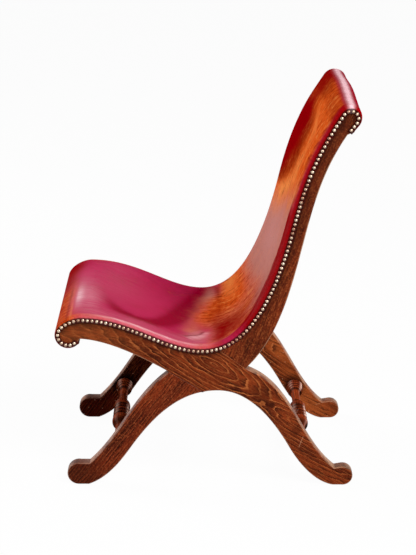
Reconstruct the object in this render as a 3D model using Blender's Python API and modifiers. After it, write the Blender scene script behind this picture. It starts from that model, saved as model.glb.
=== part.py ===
"""Low slipper chair: crossed side frames, turned stretchers and a nailed leather sling seat and back.

Metres, +Z up, the floor is z = 0. The chair faces -Y, so its left side is +X.
Every (y, z) pair below is a point of the side frame's outline. An ease is the pair of handle lengths
of a curve's two ends, as shares of the distance between them.
"""

import math

import bmesh
import bpy
import numpy as np
from mathutils import Vector

FIT_GAP = 0.0003

# Side frames
FRAME_WIDTH = 0.440
BOARD_THICKNESS = 0.028
EDGE_CHAMFER = 0.0015

# Sitting line, along the upper edge of the side frame from the front scroll to the crest roll
SCROLL_CENTRE = (-0.2946, 0.3432)
SCROLL_RADIUS = 0.026
SCROLL_TIP_ANGLE = -35.0
FRONT_EASE = (1.09, 0.86)
SEAT_CROWN = (-0.267, 0.382)
SEAT_EASE = (1.21, 0.91)
SEAT_LOW = (-0.008, 0.313)
CROOK_EASE = (0.98, 1.11)
BACK_WAIST = (0.183, 0.594)
BACK_WAIST_ANGLE = 76.6
BACK_EASE = (1.0, 1.2)
CREST_Y = 0.298
CREST_HEIGHT = 0.8165
CREST_CENTRE = (CREST_Y, CREST_HEIGHT)
CREST_RADIUS = 0.0205
CREST_START_ANGLE = 57.0
CREST_END_ANGLE = -129.0
CREST_TAIL = 0.024

# Underside of the seat rail, down to where the front leg crosses it
SCROLL_NOTCH = (-0.270, 0.335)
SCROLL_NOTCH_ANGLE = -2.7
RAIL_EASE = (0.84, 0.95)
CROSSING_Y = -0.004
CROSSING_ANGLE = -31.7
FRONT_LEG_TOP_Y = -0.078

# Feet, from which the shins, notches and stretchers are set back
FRONT_FOOT_Y = -0.276
FRONT_FOOT_RADIUS = 0.025
FRONT_FOOT_TOP_ANGLE = 80.0
REAR_FOOT_Y = 0.302
REAR_FOOT_RADIUS = 0.0215
REAR_FOOT_TOP_ANGLE = 100.0
SOLE_LENGTH = 0.022

# Arch between the legs, from the front sole to the rear sole
FRONT_SHIN_SETBACK = 0.1135
FRONT_SHIN_HEIGHT = 0.0855
REAR_SHIN_SETBACK = 0.1196
REAR_SHIN_HEIGHT = 0.0897
FRONT_SOLE_ANGLE = 20.1
FRONT_SHIN_EASE = (1.08, 0.91)
FRONT_SHIN = (FRONT_FOOT_Y + FRONT_SHIN_SETBACK, FRONT_SHIN_HEIGHT)
FRONT_SHIN_ANGLE = 55.6
FRONT_ARCH_EASE = (1.17, 1.06)
ARCH_TOP = (0.0272, 0.2185)
REAR_ARCH_EASE = (0.87, 1.38)
REAR_SHIN = (REAR_FOOT_Y - REAR_SHIN_SETBACK, REAR_SHIN_HEIGHT)
REAR_SHIN_ANGLE = -60.4
REAR_SHIN_EASE = (0.61, 1.08)
REAR_SOLE_ANGLE = -9.6

# Upper edges of the legs
FRONT_NOTCH_SETBACK = 0.024
FRONT_NOTCH_HEIGHT = 0.0495
FRONT_NOTCH = (FRONT_FOOT_Y + FRONT_NOTCH_SETBACK, FRONT_NOTCH_HEIGHT)
FRONT_NOTCH_ANGLE = 42.6
FRONT_LEG_EASE = (1.0, 1.05)
FRONT_LEG_TOP_ANGLE = 36.0
REAR_NOTCH_SETBACK = 0.019
REAR_NOTCH_HEIGHT = 0.040
REAR_NOTCH = (REAR_FOOT_Y - REAR_NOTCH_SETBACK, REAR_NOTCH_HEIGHT)
REAR_NOTCH_ANGLE = -38.5
REAR_LEG_EASE = (1.09, 0.99)
REAR_LEG_TOP_ANGLE = -18.5

# Back upright, which stands on the seat rail along a slanted joint
UPRIGHT_JOINT_FRONT_Y = 0.021
UPRIGHT_JOINT_REAR = (0.086, 0.269)
UPRIGHT_HEEL_ANGLE = 43.1
UPRIGHT_LOWER_EASE = (0.96, 0.95)
UPRIGHT_WAIST = (0.2054, 0.5492)
UPRIGHT_WAIST_ANGLE = 76.7
UPRIGHT_UPPER_EASE = (1.07, 1.08)
UPRIGHT_TOP_SETBACK = 0.0059
UPRIGHT_TOP_DROP = 0.0345
UPRIGHT_TOP = (CREST_Y - UPRIGHT_TOP_SETBACK, CREST_HEIGHT - UPRIGHT_TOP_DROP)
UPRIGHT_TOP_ANGLE = 56.8

# Dowels in the board joints and at the ends of the front rail
DOWEL_RADIUS = 0.005
DOWEL_LENGTH = 0.044
DOWEL_SHARES = (0.32, 0.70)
RAIL_DOWEL_STEP = (0.022, 0.014)

# Turned stretchers
FRONT_STRETCHER_SETBACK = 0.0845
FRONT_STRETCHER_HEIGHT = 0.081
FRONT_STRETCHER = (FRONT_FOOT_Y + FRONT_STRETCHER_SETBACK, FRONT_STRETCHER_HEIGHT)
REAR_STRETCHER_SETBACK = 0.0865
REAR_STRETCHER_HEIGHT = 0.0785
REAR_STRETCHER = (REAR_FOOT_Y - REAR_STRETCHER_SETBACK, REAR_STRETCHER_HEIGHT)
TENON_RADIUS = 0.010
TENON_LENGTH = 0.018
COLLAR_RADIUS = 0.0195
COLLAR_LENGTH = 0.015
COLLAR_RING_RADIUS = 0.0165
COLLAR_RING_LENGTH = 0.008
NECK_RADIUS = 0.0095
NECK_FROM_END = 0.062
BULB_RADIUS = 0.0190
BULB_FROM_MIDDLE = 0.046
BULB_RING_RADIUS = 0.0130
BULB_RING_FROM_MIDDLE = 0.096
MIDDLE_BEAD_RADIUS = 0.0165
MIDDLE_GROOVE_RADIUS = 0.0140
MIDDLE_BEAD_LENGTH = 0.011
TURNING_SOFTNESS = 0.9

# Cross rails
FRONT_RAIL_DEPTH = 0.058
FRONT_RAIL_FLOOR = 0.007
CROOK_RAIL_THICKNESS = 0.022
CROOK_RAIL_HEIGHT = 0.038
CROOK_RAIL_DROP = 0.020
CROOK_TENON_HEIGHT = 0.026
CREST_TENON_RADIUS = 0.011
CREST_SHOULDER = 0.006
CREST_BOW = 0.008
BOW_START_HEIGHT = 0.62
BOW_FULL_DROP = 0.0415
BOW_FULL_HEIGHT = CREST_HEIGHT - BOW_FULL_DROP

# Webbing, hessian and stuffing
STRAP_COUNT = 11
STRAP_WIDTH = 0.050
STRAP_THICKNESS = 0.0012
STRAP_BEARING = 0.014
STRAP_MARGIN = 0.008
STRAP_TOP_MARGIN = 0.030
WEB_SAG = 0.020
SAG_RAMP = 0.085
HESSIAN_THICKNESS = 0.0008
HESSIAN_BEARING = 0.016
STUFFING_BEARING = 0.021
STUFFING_START = 0.030
STUFFING_EDGE = 0.0012
STUFFING_STEP = 0.016

# Leather cover, its stuffed height over the wood and the hollow between its two edge rolls
LEATHER_THICKNESS = 0.0025
SEAT_PAD = 0.0046
CROOK_PAD = 0.0063
LUMBAR_PAD = 0.0102
LUMBAR_Z = 0.47
UPPER_PAD = 0.0115
UPPER_DROP = 0.0615
UPPER_Z = CREST_HEIGHT - UPPER_DROP
CREST_PAD = 0.0095
CREST_PAD_LENGTH = 0.060
SEAT_DISH = 0.013
ROLL_WIDTH = 0.011
FULL_ROLL_PAD = 0.006
CORNER_WIDTH = 0.0015
FLAP_LENGTH = 0.009
DISH_POWER = 1.5

# Closing sheets behind the back and under the seat
BACK_PANEL_DEPTH = 0.027
BACK_PANEL_THICKNESS = 0.002
BACK_PANEL_TOP_CLEARANCE = 0.030
DUST_COVER_DEPTH = 0.040
DUST_COVER_THICKNESS = 0.001

# Decorative nails
NAIL_INSET = 0.0045
NAIL_PITCH = 0.0098
NAIL_RADIUS = 0.004
NAIL_HEIGHT = 0.0026
NAIL_TOP_SHARE = 0.5
NAIL_LINK_RADIUS = 0.0012
NAIL_LINK_HEIGHT = 0.0009
NAIL_END_MARGIN = 0.006
CROSS_NAIL_FROM_EDGE = 0.0055

# Facets
SCROLL_STEPS = 6
FRONT_STEPS = 5
SEAT_STEPS = 7
CROOK_STEPS = 8
BACK_STEPS = 6
CREST_STEPS = 8
TAIL_STEPS = 1
FINE_FACTOR = 10
EDGE_STEPS = 8
FOOT_STEPS = 10
ROUND_SIDES = 12
TURNING_STEPS = 14
SPAN_SHARES = (0.0, 0.5, 1.0)
ROLL_ANGLE = 50.0
LEAST_FACET = 0.003
MERGE_DISTANCE = 1e-5
SHARP_ANGLE = 40.0
CORNER_ANGLE = 60.0

HALF_WIDTH = FRAME_WIDTH / 2
HALF_OPENING = HALF_WIDTH - BOARD_THICKNESS
BOARD_X = HALF_WIDTH - BOARD_THICKNESS / 2
SIDES = {"left": 1, "right": -1}


# Outline curves: each run is an array of rows (y, z, heading y, heading z)


def heading(angle):
    return np.array([math.cos(math.radians(angle)), math.sin(math.radians(angle))])


def curve_run(start, start_angle, end, end_angle, ease, steps):
    """A cubic between two points, leaving and arriving along the given angles; the end is left out."""
    start = np.array(start)
    end = np.array(end)
    reach = np.linalg.norm(end - start)
    leave = heading(start_angle) * reach * ease[0]
    arrive = heading(end_angle) * reach * ease[1]
    t = (np.arange(steps) / steps)[:, None]
    points = (2 * t**3 - 3 * t**2 + 1) * start + (t**3 - 2 * t**2 + t) * leave
    points = points + (3 * t**2 - 2 * t**3) * end + (t**3 - t**2) * arrive
    slopes = (6 * t**2 - 6 * t) * (start - end) + (3 * t**2 - 4 * t + 1) * leave
    slopes = slopes + (3 * t**2 - 2 * t) * arrive
    return np.hstack([points, slopes / np.linalg.norm(slopes, axis=1, keepdims=True)])


def arc_run(centre, radius, start_angle, end_angle, steps, with_end=False):
    """An arc from one polar angle to another; the end is left out unless asked for."""
    share = np.arange(steps + with_end) / steps
    angles = np.radians(start_angle + (end_angle - start_angle) * share)
    out = np.stack([np.cos(angles), np.sin(angles)], axis=1)
    turn = np.sign(end_angle - start_angle)
    along = np.stack([-out[:, 1], out[:, 0]], axis=1) * turn
    return np.hstack([np.array(centre) + radius * out, along])


def line_run(start, angle, length, steps):
    share = np.arange(steps + 1)[:, None] / steps
    along = heading(angle)
    points = np.array(start) + along * length * share
    return np.hstack([points, np.tile(along, (steps + 1, 1))])


def sitting_line(fine=1):
    """The side frame's upper edge, from the tip of the front scroll to the end of the crest roll's tail."""
    scroll = arc_run(SCROLL_CENTRE, SCROLL_RADIUS, SCROLL_TIP_ANGLE, -180, SCROLL_STEPS * fine)
    scroll_side = (SCROLL_CENTRE[0] - SCROLL_RADIUS, SCROLL_CENTRE[1])
    front = curve_run(scroll_side, 90, SEAT_CROWN, 0, FRONT_EASE, FRONT_STEPS * fine)
    seat = curve_run(SEAT_CROWN, 0, SEAT_LOW, 0, SEAT_EASE, SEAT_STEPS * fine)
    crook = curve_run(SEAT_LOW, 0, BACK_WAIST, BACK_WAIST_ANGLE, CROOK_EASE, CROOK_STEPS * fine)
    first, last = CREST_START_ANGLE + 90, CREST_END_ANGLE + 90
    crest = arc_run(CREST_CENTRE, CREST_RADIUS, first, last, CREST_STEPS * fine, with_end=True)
    back = curve_run(
        BACK_WAIST, BACK_WAIST_ANGLE, crest[0, :2], CREST_START_ANGLE, BACK_EASE, BACK_STEPS * fine
    )
    tail = line_run(crest[-1, :2], CREST_END_ANGLE, CREST_TAIL, TAIL_STEPS * fine)
    return np.vstack([scroll, front, seat, crook, back, crest[:-1], tail])


def lengths_along(run):
    steps = np.linalg.norm(np.diff(run[:, :2], axis=0), axis=1)
    return np.concatenate([[0], np.cumsum(steps)])


LINE = sitting_line()
LINE_S = lengths_along(LINE)
FIRST_SEAT = SCROLL_STEPS + FRONT_STEPS
FIRST_CROOK = FIRST_SEAT + SEAT_STEPS
FIRST_BACK = FIRST_CROOK + CROOK_STEPS
FIRST_CREST = FIRST_BACK + BACK_STEPS
S_END = LINE_S[-1]


def rail_at(distance):
    """Rows of the sitting line at distances along it, on its facets."""
    row = np.stack([np.interp(distance, LINE_S, LINE[:, i]) for i in range(4)], axis=-1)
    row[..., 2:] /= np.linalg.norm(row[..., 2:], axis=-1, keepdims=True)
    return row


def normals(run):
    """Left of the heading: out of the wood, towards the sitter."""
    return np.stack([-run[:, 3], run[:, 2]], axis=1)


def distance_at(column, value, first, last):
    """Distance at which one coordinate of the sitting line, between two corners, takes a value."""
    return float(np.interp(value, LINE[first : last + 1, column], LINE_S[first : last + 1]))


def ease_between(distance, keys):
    """Smooth steps between (distance, value) keys."""
    at = np.array([key[0] for key in keys])
    values = np.array([key[1] for key in keys])
    place = np.clip(np.searchsorted(at, distance, side="right") - 1, 0, len(at) - 2)
    share = np.clip((distance - at[place]) / (at[place + 1] - at[place]), 0, 1)
    share = share * share * (3 - 2 * share)
    return values[place] + (values[place + 1] - values[place]) * share


S_FRONT_SIDE = LINE_S[SCROLL_STEPS]
S_CROWN = LINE_S[FIRST_SEAT]
S_LOW = LINE_S[FIRST_CROOK]
S_CREST = LINE_S[FIRST_CREST]
S_JOINT = distance_at(0, UPRIGHT_JOINT_FRONT_Y, FIRST_CROOK, FIRST_BACK)
S_LUMBAR = distance_at(1, LUMBAR_Z, FIRST_CROOK, FIRST_CREST)
S_UPPER = distance_at(1, UPPER_Z, FIRST_CROOK, FIRST_CREST)
FRONT_RAIL_BACK_Y = SCROLL_CENTRE[0] - SCROLL_RADIUS + FRONT_RAIL_DEPTH
S_FRONT_RAIL = distance_at(0, FRONT_RAIL_BACK_Y, SCROLL_STEPS, FIRST_CROOK)
PAD_KEYS = (
    (0, FIT_GAP),
    (S_FRONT_SIDE, FIT_GAP),
    (S_CROWN, SEAT_PAD),
    (S_LOW, CROOK_PAD),
    (S_LUMBAR, LUMBAR_PAD),
    (S_UPPER, UPPER_PAD),
    (S_CREST, CREST_PAD),
    (S_CREST + CREST_PAD_LENGTH, FIT_GAP),
    (S_END, FIT_GAP),
)


STRAP_BASE = FIT_GAP
HESSIAN_BASE = STRAP_BASE + STRAP_THICKNESS + FIT_GAP
STUFFING_BASE = HESSIAN_BASE + HESSIAN_THICKNESS + FIT_GAP


def stuffing_end():
    """Where the cover comes down so near the crest rail that the stuffing stops."""
    distance = np.linspace(S_CREST + CREST_PAD_LENGTH, S_CREST, CREST_STEPS * FINE_FACTOR)
    pad = ease_between(distance, PAD_KEYS)
    return float(np.interp(STUFFING_EDGE, pad, distance))


S_SLING_START = S_FRONT_RAIL + STRAP_MARGIN
S_SLING_END = S_CREST - STRAP_TOP_MARGIN
S_STUFFING_STEP = S_SLING_END + STUFFING_STEP
S_STUFFING_END = stuffing_end()
SLING_KEYS = (
    (S_FRONT_RAIL, 0),
    (S_FRONT_RAIL + SAG_RAMP, 1),
    (S_SLING_END - SAG_RAMP, 1),
    (S_SLING_END, 0),
)


def rail_corners():
    """Distances of the sitting line's corners: where its facets meet, and where pieces begin or end."""
    added = np.array(
        [S_FRONT_RAIL, S_SLING_START, S_JOINT, S_SLING_END, S_STUFFING_STEP, S_STUFFING_END]
    )
    apart = np.abs(LINE_S[:, None] - added).min(axis=1) > LEAST_FACET
    return np.sort(np.concatenate([LINE_S[apart], added]))


RAIL_S = rail_corners()
RAIL = rail_at(RAIL_S)
PAD_AT_CORNERS = ease_between(RAIL_S, PAD_KEYS)
DISH_AT_CORNERS = SEAT_DISH * ease_between(RAIL_S, SLING_KEYS)


def pad_height(distance):
    """Stuffed height under the cover, straight between the corners of the sitting line."""
    return np.interp(distance, RAIL_S, PAD_AT_CORNERS)


def dish_depth(distance):
    """Hollow of the cover: nothing near the front and crest rails, all of it between them."""
    return np.interp(distance, RAIL_S, DISH_AT_CORNERS)


def rail_slice(start, end):
    """Distances of the sitting line's corners between two distances, with both ends."""
    inside = RAIL_S[(RAIL_S > start + FIT_GAP) & (RAIL_S < end - FIT_GAP)]
    return np.concatenate([[start], inside, [end]])


def bow(x, z):
    """Rise of the crest towards the middle of the chair."""
    share = np.clip((z - BOW_START_HEIGHT) / (BOW_FULL_HEIGHT - BOW_START_HEIGHT), 0, 1)
    share = share * share * (3 - 2 * share)
    across = np.clip(np.abs(x) / HALF_OPENING, 0, 1)
    return CREST_BOW * share * (1 + np.cos(np.pi * across)) / 2


def on_rail(distance, x, height):
    """Points over the sitting line: one row for each distance, one column for each x."""
    rows = rail_at(distance)
    out = normals(rows)
    y = rows[:, :1] + out[:, :1] * height
    x = np.broadcast_to(x, y.shape)
    z = rows[:, 1:2] + out[:, 1:2] * height + bow(x, rows[:, 1:2])
    return np.stack([x, y, z], axis=-1)


# Outlines of the three boards of a side frame


def cut_at_y(run, y):
    """The point of a run with this y, and the number of rows before it."""
    before = int(np.searchsorted(run[:, 0], y))
    share = (y - run[before - 1, 0]) / (run[before, 0] - run[before - 1, 0])
    return run[before - 1, :2] + (run[before, :2] - run[before - 1, :2]) * share, before


def arch_run():
    front_sole = (FRONT_FOOT_Y + SOLE_LENGTH, 0)
    rear_sole = (REAR_FOOT_Y - SOLE_LENGTH, 0)
    nodes = (
        (front_sole, FRONT_SOLE_ANGLE, FRONT_SHIN_EASE),
        (FRONT_SHIN, FRONT_SHIN_ANGLE, FRONT_ARCH_EASE),
        (ARCH_TOP, 0, REAR_ARCH_EASE),
        (REAR_SHIN, REAR_SHIN_ANGLE, REAR_SHIN_EASE),
        (rear_sole, REAR_SOLE_ANGLE, None),
    )
    runs = []
    for (start, angle, ease), (end, end_angle, _) in zip(nodes, nodes[1:]):
        runs.append(curve_run(start, angle, end, end_angle, ease, EDGE_STEPS))
    return np.vstack(runs + [[*rear_sole, *heading(REAR_SOLE_ANGLE)]])


ARCH = arch_run()
CROSSING, ARCH_BEFORE_CROSSING = cut_at_y(ARCH, CROSSING_Y)
UNDERSIDE = np.vstack(
    [
        curve_run(
            SCROLL_NOTCH, SCROLL_NOTCH_ANGLE, CROSSING, CROSSING_ANGLE, RAIL_EASE, 2 * EDGE_STEPS
        ),
        [*CROSSING, *heading(CROSSING_ANGLE)],
    ]
)
LEG_TOP, UNDERSIDE_BEFORE_LEG = cut_at_y(UNDERSIDE, FRONT_LEG_TOP_Y)
JOINT_FRONT = rail_at(S_JOINT)[:2]
UPRIGHT_JOINT = (JOINT_FRONT, np.array(UPRIGHT_JOINT_REAR))
LEG_JOINT = (LEG_TOP, CROSSING)


def joint_normal(joint):
    """Square to a joint line, pointing up."""
    along = (joint[1] - joint[0]) / np.linalg.norm(joint[1] - joint[0])
    return np.array([-along[1], along[0]])


def seat_rail_outline():
    upper = curve_run(
        UPRIGHT_JOINT_REAR,
        REAR_LEG_TOP_ANGLE,
        REAR_NOTCH,
        REAR_NOTCH_ANGLE,
        REAR_LEG_EASE,
        EDGE_STEPS,
    )
    foot_centre = (REAR_FOOT_Y, REAR_FOOT_RADIUS)
    foot = arc_run(foot_centre, REAR_FOOT_RADIUS, REAR_FOOT_TOP_ANGLE, -90, FOOT_STEPS, True)
    return np.vstack(
        [
            RAIL[RAIL_S <= S_JOINT, :2],
            upper[:, :2],
            REAR_NOTCH,
            foot[:, :2],
            ARCH[ARCH_BEFORE_CROSSING:, :2][::-1],
            UNDERSIDE[:, :2][::-1],
        ]
    )


def back_upright_outline():
    lower = curve_run(
        UPRIGHT_JOINT_REAR,
        UPRIGHT_HEEL_ANGLE,
        UPRIGHT_WAIST,
        UPRIGHT_WAIST_ANGLE,
        UPRIGHT_LOWER_EASE,
        EDGE_STEPS,
    )
    upper = curve_run(
        UPRIGHT_WAIST,
        UPRIGHT_WAIST_ANGLE,
        UPRIGHT_TOP,
        UPRIGHT_TOP_ANGLE,
        UPRIGHT_UPPER_EASE,
        EDGE_STEPS,
    )
    rear = np.vstack([lower[:, :2], upper[:, :2], UPRIGHT_TOP])
    lift = joint_normal(UPRIGHT_JOINT) * FIT_GAP
    return np.vstack(
        [JOINT_FRONT + lift, RAIL[RAIL_S > S_JOINT, :2], rear[:0:-1], rear[:1] + lift]
    )


def front_leg_outline():
    upper = curve_run(
        FRONT_NOTCH,
        FRONT_NOTCH_ANGLE,
        LEG_TOP,
        FRONT_LEG_TOP_ANGLE,
        FRONT_LEG_EASE,
        EDGE_STEPS,
    )
    foot_centre = (FRONT_FOOT_Y, FRONT_FOOT_RADIUS)
    foot = arc_run(foot_centre, FRONT_FOOT_RADIUS, FRONT_FOOT_TOP_ANGLE, 270, FOOT_STEPS, True)
    joint = UNDERSIDE[UNDERSIDE_BEFORE_LEG:]
    joint = joint[:, :2] - normals(joint) * FIT_GAP
    top = LEG_TOP - joint_normal(LEG_JOINT) * FIT_GAP
    return np.vstack(
        [
            upper[:, :2][::-1],
            foot[:, :2],
            ARCH[:ARCH_BEFORE_CROSSING, :2],
            joint[::-1],
            top,
        ]
    )


# Scene, materials and mesh helpers


def clear_scene():
    for obj in list(bpy.data.objects):
        bpy.data.objects.remove(obj, do_unlink=True)


def new_collection(name):
    collection = bpy.data.collections.new(name)
    bpy.context.scene.collection.children.link(collection)
    return collection


def new_material(name, colour, roughness, metallic=0.0):
    material = bpy.data.materials.new(name)
    material.use_nodes = True
    shader = material.node_tree.nodes["Principled BSDF"]
    shader.inputs["Base Color"].default_value = (*colour, 1)
    shader.inputs["Roughness"].default_value = roughness
    shader.inputs["Metallic"].default_value = metallic
    return material


def add_object(name, data, material=None, location=(0, 0, 0), rotation=(0, 0, 0)):
    obj = bpy.data.objects.new(name, data)
    obj.location = location
    obj.rotation_euler = rotation
    if material is None:
        CUTTERS.objects.link(obj)
        obj.hide_render = True
        obj.display_type = "WIRE"
    else:
        PARTS.objects.link(obj)
        data.materials.append(material)
    return obj


def mesh_from(name, bm, smooth=False):
    bmesh.ops.recalc_face_normals(bm, faces=bm.faces)
    mesh = bpy.data.meshes.new(name)
    bm.to_mesh(mesh)
    bm.free()
    if smooth:
        mesh.shade_smooth()
        mesh.set_sharp_from_angle(angle=math.radians(SHARP_ANGLE))
    return mesh


def rod_mesh(name, radius, length):
    bm = bmesh.new()
    bmesh.ops.create_cone(
        bm, cap_ends=True, segments=ROUND_SIDES, radius1=radius, radius2=radius, depth=length
    )
    return mesh_from(name, bm, smooth=True)


def hole_mesh(name, radius, length):
    """A cutter whose flats, not its corners, clear a rod of this radius."""
    return rod_mesh(name, (radius + FIT_GAP) / math.cos(math.pi / ROUND_SIDES), length + 2 * FIT_GAP)


def box_mesh(name, size):
    bm = bmesh.new()
    bmesh.ops.create_cube(bm, size=1)
    bmesh.ops.scale(bm, vec=Vector(size), verts=bm.verts)
    return mesh_from(name, bm)


def plate(name, outline, thickness, material, location, rotation):
    """A flat outline extruded about its own plane, as a mesh."""
    curve = bpy.data.curves.new(name + "_outline", "CURVE")
    curve.dimensions = "2D"
    curve.fill_mode = "BOTH"
    curve.extrude = thickness / 2
    spline = curve.splines.new("POLY")
    spline.points.add(len(outline) - 1)
    for point, (across, up) in zip(spline.points, outline):
        point.co = (across, up, 0, 1)
    spline.use_cyclic_u = True
    guide = add_object(name + "_guide", curve, None, location, rotation)
    bpy.context.view_layer.update()
    place = guide.matrix_world.copy()
    graph = bpy.context.evaluated_depsgraph_get()
    mesh = bpy.data.meshes.new_from_object(guide.evaluated_get(graph))
    bm = bmesh.new()
    bm.from_mesh(mesh)
    bmesh.ops.remove_doubles(bm, verts=bm.verts, dist=MERGE_DISTANCE)
    bmesh.ops.recalc_face_normals(bm, faces=bm.faces)
    bm.to_mesh(mesh)
    bm.free()
    bpy.data.objects.remove(guide, do_unlink=True)
    bpy.data.curves.remove(curve)
    obj = add_object(name, mesh, material)
    obj.matrix_world = place
    return obj


def side_plate(name, outline, thickness, x, material):
    """A plate standing in the side view: its outline is in (y, z), its thickness along x."""
    turn = (math.pi / 2, 0, math.pi / 2)
    return plate(name, outline, thickness, material, (x, 0, 0), turn)


def chamfer(obj):
    modifier = obj.modifiers.new("eased_edges", "BEVEL")
    modifier.width = EDGE_CHAMFER
    modifier.segments = 1
    modifier.limit_method = "ANGLE"
    modifier.angle_limit = math.radians(CORNER_ANGLE)


def cut(obj, cutters):
    for cutter in cutters:
        modifier = obj.modifiers.new(cutter.name, "BOOLEAN")
        modifier.operation = "DIFFERENCE"
        modifier.solver = "EXACT"
        modifier.object = cutter


def split_quad(corners, x):
    """Two triangles of a quad, cut from its first row's inner corner to its second row's outer."""
    first, beside, across, above = corners
    if abs(x[first]) <= abs(x[beside]):
        return [(first, beside, across), (first, across, above)]
    return [(first, beside, above), (beside, across, above)]


def sheet(name, points, thickness, side, material):
    """An open surface through rows of points, thickened to one side of it."""
    rows, columns = points.shape[:2]
    bm = bmesh.new()
    bmesh.ops.create_grid(bm, x_segments=columns - 1, y_segments=rows - 1, size=1)
    grid = {}
    for vert in bm.verts:
        column = round((vert.co.x + 1) / 2 * (columns - 1))
        row = round((vert.co.y + 1) / 2 * (rows - 1))
        grid[row * columns + column] = vert
        vert.co = points[row, column]
    bmesh.ops.delete(bm, geom=bm.faces[:], context="FACES_ONLY")
    x = points[:, :, 0].ravel()
    for row in range(rows - 1):
        for column in range(columns - 1):
            first = row * columns + column
            corners = (first, first + 1, first + columns + 1, first + columns)
            for triangle in split_quad(corners, x):
                bm.faces.new([grid[corner] for corner in triangle])
    mesh = bpy.data.meshes.new(name)
    bm.to_mesh(mesh)
    bm.free()
    mesh.shade_smooth()
    obj = add_object(name, mesh, material)
    modifier = obj.modifiers.new("thickness", "SOLIDIFY")
    modifier.thickness = thickness
    modifier.offset = side
    modifier.use_even_offset = True
    return obj


def loft(name, rings, material):
    """A closed body through rings of points, with a flat cap at each end."""
    count, size = rings.shape[:2]
    x = rings[:, :, 0].ravel()
    faces = []
    for row in range(count - 1):
        for column in range(size):
            beside = (column + 1) % size
            first, second = row * size, (row + 1) * size
            corners = (first + column, first + beside, second + beside, second + column)
            faces += split_quad(corners, x)
    faces.append(tuple(range(size))[::-1])
    faces.append(tuple(range((count - 1) * size, count * size)))
    mesh = bpy.data.meshes.new(name)
    mesh.from_pydata(rings.reshape(-1, 3).tolist(), [], faces)
    bm = bmesh.new()
    bm.from_mesh(mesh)
    bmesh.ops.recalc_face_normals(bm, faces=bm.faces)
    bm.to_mesh(mesh)
    bm.free()
    return add_object(name, mesh, material)


# Wooden pieces


def add_dowel(name, point, direction):
    """A dowel centred on a point; its cutter makes the hole in both pieces that it joins."""
    turn = Vector((0, 0, 1)).rotation_difference(Vector(direction)).to_euler()
    add_object(name, rod_mesh(name, DOWEL_RADIUS, DOWEL_LENGTH), OAK_PEG, point, turn)
    hole = hole_mesh(name + "_hole", DOWEL_RADIUS, DOWEL_LENGTH)
    return add_object(name + "_hole", hole, None, point, turn)


def joint_dowels(prefix, joint, x):
    out = joint_normal(joint)
    holes = []
    for number, share in enumerate(DOWEL_SHARES, 1):
        point = joint[0] + (joint[1] - joint[0]) * share
        holes.append(add_dowel(f"{prefix}_dowel_{number}", (x, *point), (0, *out)))
    return holes


def front_rail_outline():
    top_back = rail_at(S_FRONT_RAIL)[:2]
    front = RAIL[: int(np.searchsorted(RAIL_S, S_FRONT_RAIL)), :2]
    floor = SCROLL_NOTCH[1] + FRONT_RAIL_FLOOR
    return np.vstack([front, top_back, (FRONT_RAIL_BACK_Y, floor), SCROLL_NOTCH])


def add_front_rail():
    """The shaped rail inside the front scrolls, with two dowels at each end."""
    length = 2 * (HALF_OPENING - FIT_GAP)
    rail = side_plate("front_rail", front_rail_outline(), length, 0, OAK)
    holes = {}
    for side, sign in SIDES.items():
        holes[side] = []
        for number in (1, 2):
            y = SCROLL_CENTRE[0] + RAIL_DOWEL_STEP[0] * (number - 1)
            z = SCROLL_CENTRE[1] + RAIL_DOWEL_STEP[1] * (number - 1)
            name = f"{side}_front_rail_dowel_{number}"
            holes[side].append(add_dowel(name, (sign * HALF_OPENING, y, z), (1, 0, 0)))
        cut(rail, holes[side])
    return holes


def add_crook_rail():
    """The rail under the crook of the seat, with a tenon at each end; returns the mortise cutters."""
    shoulder = HALF_OPENING - FIT_GAP
    tip = shoulder + TENON_LENGTH
    half, half_tenon = CROOK_RAIL_HEIGHT / 2, CROOK_TENON_HEIGHT / 2
    corner = ((shoulder, -half), (shoulder, -half_tenon), (tip, -half_tenon))
    right = corner + tuple((x, -z) for x, z in corner[::-1])
    outline = right + tuple((-x, -z) for x, z in right)
    z = SEAT_LOW[1] - CROOK_RAIL_DROP - half
    turn = (math.pi / 2, 0, 0)
    plate("crook_rail", outline, CROOK_RAIL_THICKNESS, OAK, (0, SEAT_LOW[0], z), turn)
    size = (
        2 * (TENON_LENGTH + FIT_GAP),
        CROOK_RAIL_THICKNESS + 2 * FIT_GAP,
        CROOK_TENON_HEIGHT + 2 * FIT_GAP,
    )
    mortises = {}
    for side, sign in SIDES.items():
        name = f"{side}_crook_mortise"
        place = (sign * HALF_OPENING, SEAT_LOW[0], z)
        mortises[side] = [add_object(name, box_mesh(name, size), None, place)]
    return mortises


def round_mortises(name, radius, point):
    """A blind round hole from the inner face of each side frame."""
    mortises = {}
    for side, sign in SIDES.items():
        label = f"{side}_{name}_mortise"
        mesh = hole_mesh(label, radius, 2 * TENON_LENGTH)
        turn = (0, math.pi / 2, 0)
        mortises[side] = [add_object(label, mesh, None, (sign * HALF_OPENING, *point), turn)]
    return mortises


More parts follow.
